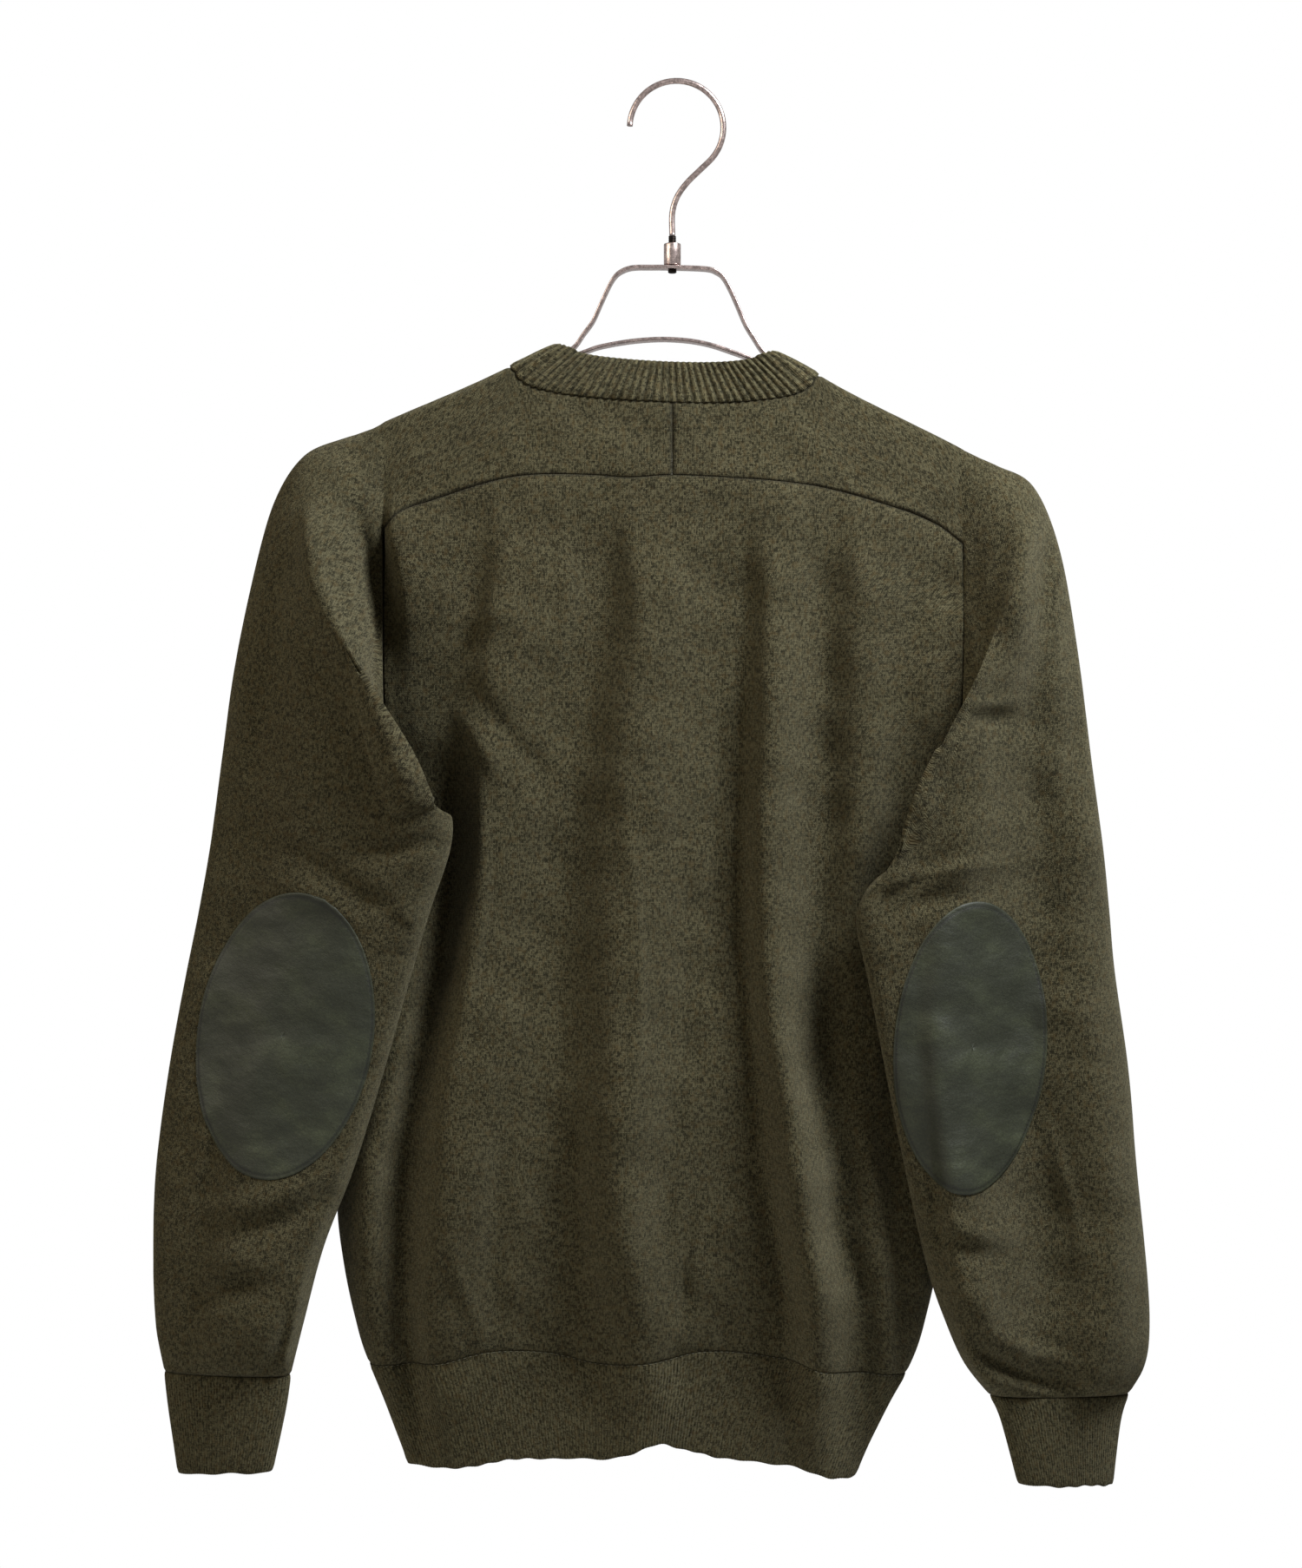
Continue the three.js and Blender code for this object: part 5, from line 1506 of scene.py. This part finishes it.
class SWEATER_OT_sleeves(bpy.types.Operator):
    """Makes both sleeves with their saddles"""

    bl_idname = "sweater.sleeves"
    bl_label = "Sleeves"

    def execute(self, context):
        for word, side in (("left", -1), ("right", 1)):
            piece = shell(f"sleeve_{word}_cloth", sleeve_sheet(side), KNIT)
            finish_piece(piece, plain_knit(), "knit", "sleeve_" + word)
        return {"FINISHED"}


class SWEATER_OT_bands(bpy.types.Operator):
    """Makes the ribbed neckband, hem band and cuffs"""

    bl_idname = "sweater.bands"
    bl_label = "Ribbed bands"

    def execute(self, context):
        rib = settings().rib
        knit = settings().knit
        # Both rib materials paint shade into the rib furrows and paint the ribs' tops lighter: strongly at
        # the neckband, faintly at the hem and cuffs.
        material = wool("melange_rib", knit, rib.wale / MM, 0.35, 0.8, 0.6)
        fine = wool("melange_fine_rib", knit, rib.wale / MM, 0.35, 0.2, 0.6)
        sheet, raised = neck_sheet(rib.neck_pitch / MM, rib.neck_height / MM)
        piece = shell("neck_rib_cloth", sheet, RIB_KNIT, raised, NECK_ROLL)
        finish_piece(piece, material, "rib", "neck_rib")
        sheet, raised = hem_sheet(rib.hem_pitch / MM, rib.fine_height / MM)
        piece = shell("hem_rib_cloth", sheet, RIB_KNIT, raised, FINE_ROLL)
        finish_piece(piece, fine, "rib", "hem_rib")
        for word, side in (("left", -1), ("right", 1)):
            sheet, raised = cuff_sheet(side, rib.cuff_pitch / MM, rib.fine_height / MM)
            piece = shell(f"cuff_{word}_cloth", sheet, RIB_KNIT, raised, FINE_ROLL)
            finish_piece(piece, fine, "rib", "cuff_" + word)
        return {"FINISHED"}


class SWEATER_OT_patches(bpy.types.Operator):
    """Makes the leather elbow patches and their stitches"""

    bl_idname = "sweater.patches"
    bl_label = "Elbow patches"

    def execute(self, context):
        look = settings().leather
        material = leather("patch_leather", look)
        dark = thread("patch_thread", (0.1, 0.1, 0.075))
        for word, side in (("left", -1), ("right", 1)):
            sleeve = bpy.data.objects[f"sleeve_{word}_cloth"]
            sheet, raised, grid = patch_sheet(sleeve, side, LEATHER - PATCH_SUNK)
            piece = shell(f"elbow_patch_{word}_leather", sheet, LEATHER, raised, PATCH_ROLL)
            finish_piece(piece, material, "patch", "elbow_patch_" + word)
            line, normals = grid_line(sheet, grid.shape, IN_FURROW)
            row = stitch_row(f"elbow_patch_{word}_stitches", line, normals, look.stitch / MM,
                             gap=0.9, radius=0.28, lift=-0.4)
            finish_piece(row, dark, "patch")
        return {"FINISHED"}


def grid_line(sheet, shape, row):
    """One row of a closed grid as a line, with the sheet's normals along it."""
    normals = sheet.normals().reshape(shape[0], shape[1], 3)[row]
    points = sheet.points.reshape(shape[0], shape[1], 3)[row]
    return np.concatenate([points, points[:1]]), np.concatenate([normals, normals[:1]])


class SWEATER_OT_seams(bpy.types.Operator):
    """Makes the stitches that show along the hem seam"""

    bl_idname = "sweater.seams"
    bl_label = "Seam stitches"

    def execute(self, context):
        pale = thread("seam_thread", (0.37, 0.36, 0.28))
        step = oval_steps(np.linspace(0.02, 0.98, 400))
        for word, front in (("back", False), ("front", True)):
            centre, half = body_plan(HEM_LEFT_Z)
            z = along(HEM_SEAM, centre + step * half) - SEAM / 2
            centre, half = body_plan(z)
            line = body_point(centre + step * half, z, front)
            out = np.tile([0, 1.0 if front else -1.0, 0], (len(line), 1))
            row = stitch_row(f"hem_stitches_{word}", line, out, 1.5, gap=1.9, radius=0.3, lift=0.05)
            finish_piece(row, pale, "rib")
        return {"FINISHED"}


class SWEATER_OT_hanger(bpy.types.Operator):
    """Makes the hanger's strips, ferrule and hook"""

    bl_idname = "sweater.hanger"
    bl_label = "Hanger"

    def execute(self, context):
        look = settings().hanger
        plating = metal("hanger_plating", tuple(look.colour), look.roughness)
        dark = metal("hanger_thread", (0.16, 0.14, 0.13), 0.45)
        for name, node, line, section in (
                ("hanger_frame_strip", "hanger_frame", frame_line(), bar_section()),
                ("hanger_arch_strip", "hanger_arch", smooth_line(ARCH, 8), bar_section()),
                ("hanger_hook_wire", "hanger_hook", hook_line(), wire_section(WIRE_RADIUS))):
            finish_piece(swept(name, line, section), plating, "hanger_metal", node)
        r = FERRULE_RADIUS
        low, high = FERRULE_BOTTOM, FERRULE_SHOULDER
        profile = [(r - 0.8, low), (r - 0.2, low + 0.2), (r, low + 0.8), (r, high - 0.8),
                   (r - 0.2, high - 0.2), (r - 0.8, high), (THREAD_RADIUS, high)]
        finish_piece(turned("hanger_ferrule_sleeve", profile, STEM_X), plating, "hanger_metal",
                     "hanger_ferrule")
        heights = np.arange(FERRULE_SHOULDER, FERRULE_TOP, THREAD_PITCH / 4)
        ridges = [(THREAD_RADIUS - THREAD_DEPTH * (k % 4 in (1, 2)), z) for k, z in enumerate(heights)]
        finish_piece(turned("hanger_thread_neck", ridges, STEM_X), dark, "hanger_metal")
        bolt = [(BOLT_RADIUS - 0.6, BOLT_TOP - 2.2), (BOLT_RADIUS, BOLT_TOP - 1.8),
                (BOLT_RADIUS, BOLT_TOP - 0.2)]
        finish_piece(turned("hanger_bolt_end", bolt, STEM_X, look.bolt_sides), dark, "hanger_metal")
        return {"FINISHED"}


def area_light(name, place_size_colour, power):
    """A square light that is aimed at the middle of the sweater."""
    place, size, colour = place_size_colour
    light = bpy.data.lights.new(name, "AREA")
    light.shape = "RECTANGLE"
    light.size, light.size_y = size, size
    light.energy = power
    light.color = colour
    lamp = bpy.data.objects.new(name, light)
    lamp.location = place
    aim = Vector(MIDDLE) - Vector(place)
    lamp.rotation_euler = aim.to_track_quat("-Z", "Y").to_euler()
    bpy.context.scene.collection.objects.link(lamp)
    return lamp


class SWEATER_OT_stage(bpy.types.Operator):
    """Makes the floor, the light and the camera"""

    bl_idname = "sweater.stage"
    bl_label = "Stage"

    def execute(self, context):
        look = settings().stage
        half = FLOOR_HALF
        low = -look.floor_drop / MM
        corners = np.array([(-half, -half), (half, -half), (half, half), (-half, half)]) / MM
        points = [(x, y, low) for x, y in corners]
        floor = mesh_object("floor", points, [(0, 1, 2, 3)])
        graph = Graph("pale_floor")
        speckle = graph.noise(graph.object_place(), 0.02, 3.0, 0.5)
        colour = graph.mix(speckle, (0.86, 0.86, 0.85, 1), (0.9, 0.9, 0.89, 1))
        graph.put(graph.shader.inputs["Base Color"], colour)
        graph.shader.inputs["Roughness"].default_value = 0.9
        floor.data.materials.append(graph.material)

        world = bpy.data.worlds.new("pale_room")
        world.use_nodes = True
        nodes, links = world.node_tree.nodes, world.node_tree.links
        room = nodes["Background"]
        room.inputs[0].default_value = ROOM_COLOUR
        room.inputs[1].default_value = look.sky
        backdrop = nodes.new("ShaderNodeBackground")
        backdrop.inputs[0].default_value = (1, 1, 1, 1)
        seen = nodes.new("ShaderNodeLightPath")
        choice = nodes.new("ShaderNodeMixShader")
        either = nodes.new("ShaderNodeMath")
        either.operation = "MULTIPLY_ADD"
        links.new(seen.outputs["Is Glossy Ray"], either.inputs[0])
        either.inputs[1].default_value = GLOSSY_SHARE
        links.new(seen.outputs["Is Camera Ray"], either.inputs[2])
        links.new(either.outputs[0], choice.inputs[0])
        links.new(room.outputs[0], choice.inputs[1])
        links.new(backdrop.outputs[0], choice.inputs[2])
        links.new(choice.outputs[0], nodes["World Output"].inputs[0])
        context.scene.world = world
        context.scene.view_settings.view_transform = "Standard"

        area_light("key_light", KEY_LIGHT, look.key_power)
        area_light("side_light", SIDE_LIGHT, look.side_power)

        data = bpy.data.cameras.new("photo_camera")
        data.lens = CAMERA_LENS
        data.sensor_width = CAMERA_SENSOR
        data.sensor_fit = "AUTO"
        camera = bpy.data.objects.new("photo_camera", data)
        camera.location = [v * MM for v in CAMERA_AT]
        camera.rotation_euler = (math.pi / 2, 0, 0)
        context.scene.collection.objects.link(camera)
        context.scene.camera = camera
        return {"FINISHED"}


class SWEATER_PT_panel(bpy.types.Panel):
    """Lists the pieces and their settings"""

    bl_idname = "SWEATER_PT_panel"
    bl_label = "Sweater"
    bl_space_type = "VIEW_3D"
    bl_region_type = "UI"
    bl_category = "Sweater"

    def draw(self, context):
        layout = self.layout
        sweater = context.scene.sweater
        for group in (sweater.knit, sweater.rib, sweater.leather, sweater.hanger, sweater.stage):
            box = layout.box()
            for name in group.__annotations__:
                box.prop(group, name)
        for operator in OPERATORS:
            layout.operator(operator.bl_idname)


OPERATORS = (SWEATER_OT_panels, SWEATER_OT_sleeves, SWEATER_OT_bands, SWEATER_OT_patches,
             SWEATER_OT_seams, SWEATER_OT_hanger, SWEATER_OT_stage)
CLASSES = (KnitSettings, RibSettings, LeatherSettings, HangerSettings, StageSettings,
           SweaterSettings) + OPERATORS + (SWEATER_PT_panel,)


def register():
    for cls in CLASSES:
        bpy.utils.register_class(cls)
    bpy.types.Scene.sweater = PointerProperty(type=SweaterSettings)


def unregister():
    del bpy.types.Scene.sweater
    for cls in reversed(CLASSES):
        bpy.utils.unregister_class(cls)


def main():
    register()
    for operator in OPERATORS:
        group, name = operator.bl_idname.split(".")
        getattr(getattr(bpy.ops, group), name)()


if __name__ == "__main__":
    main()
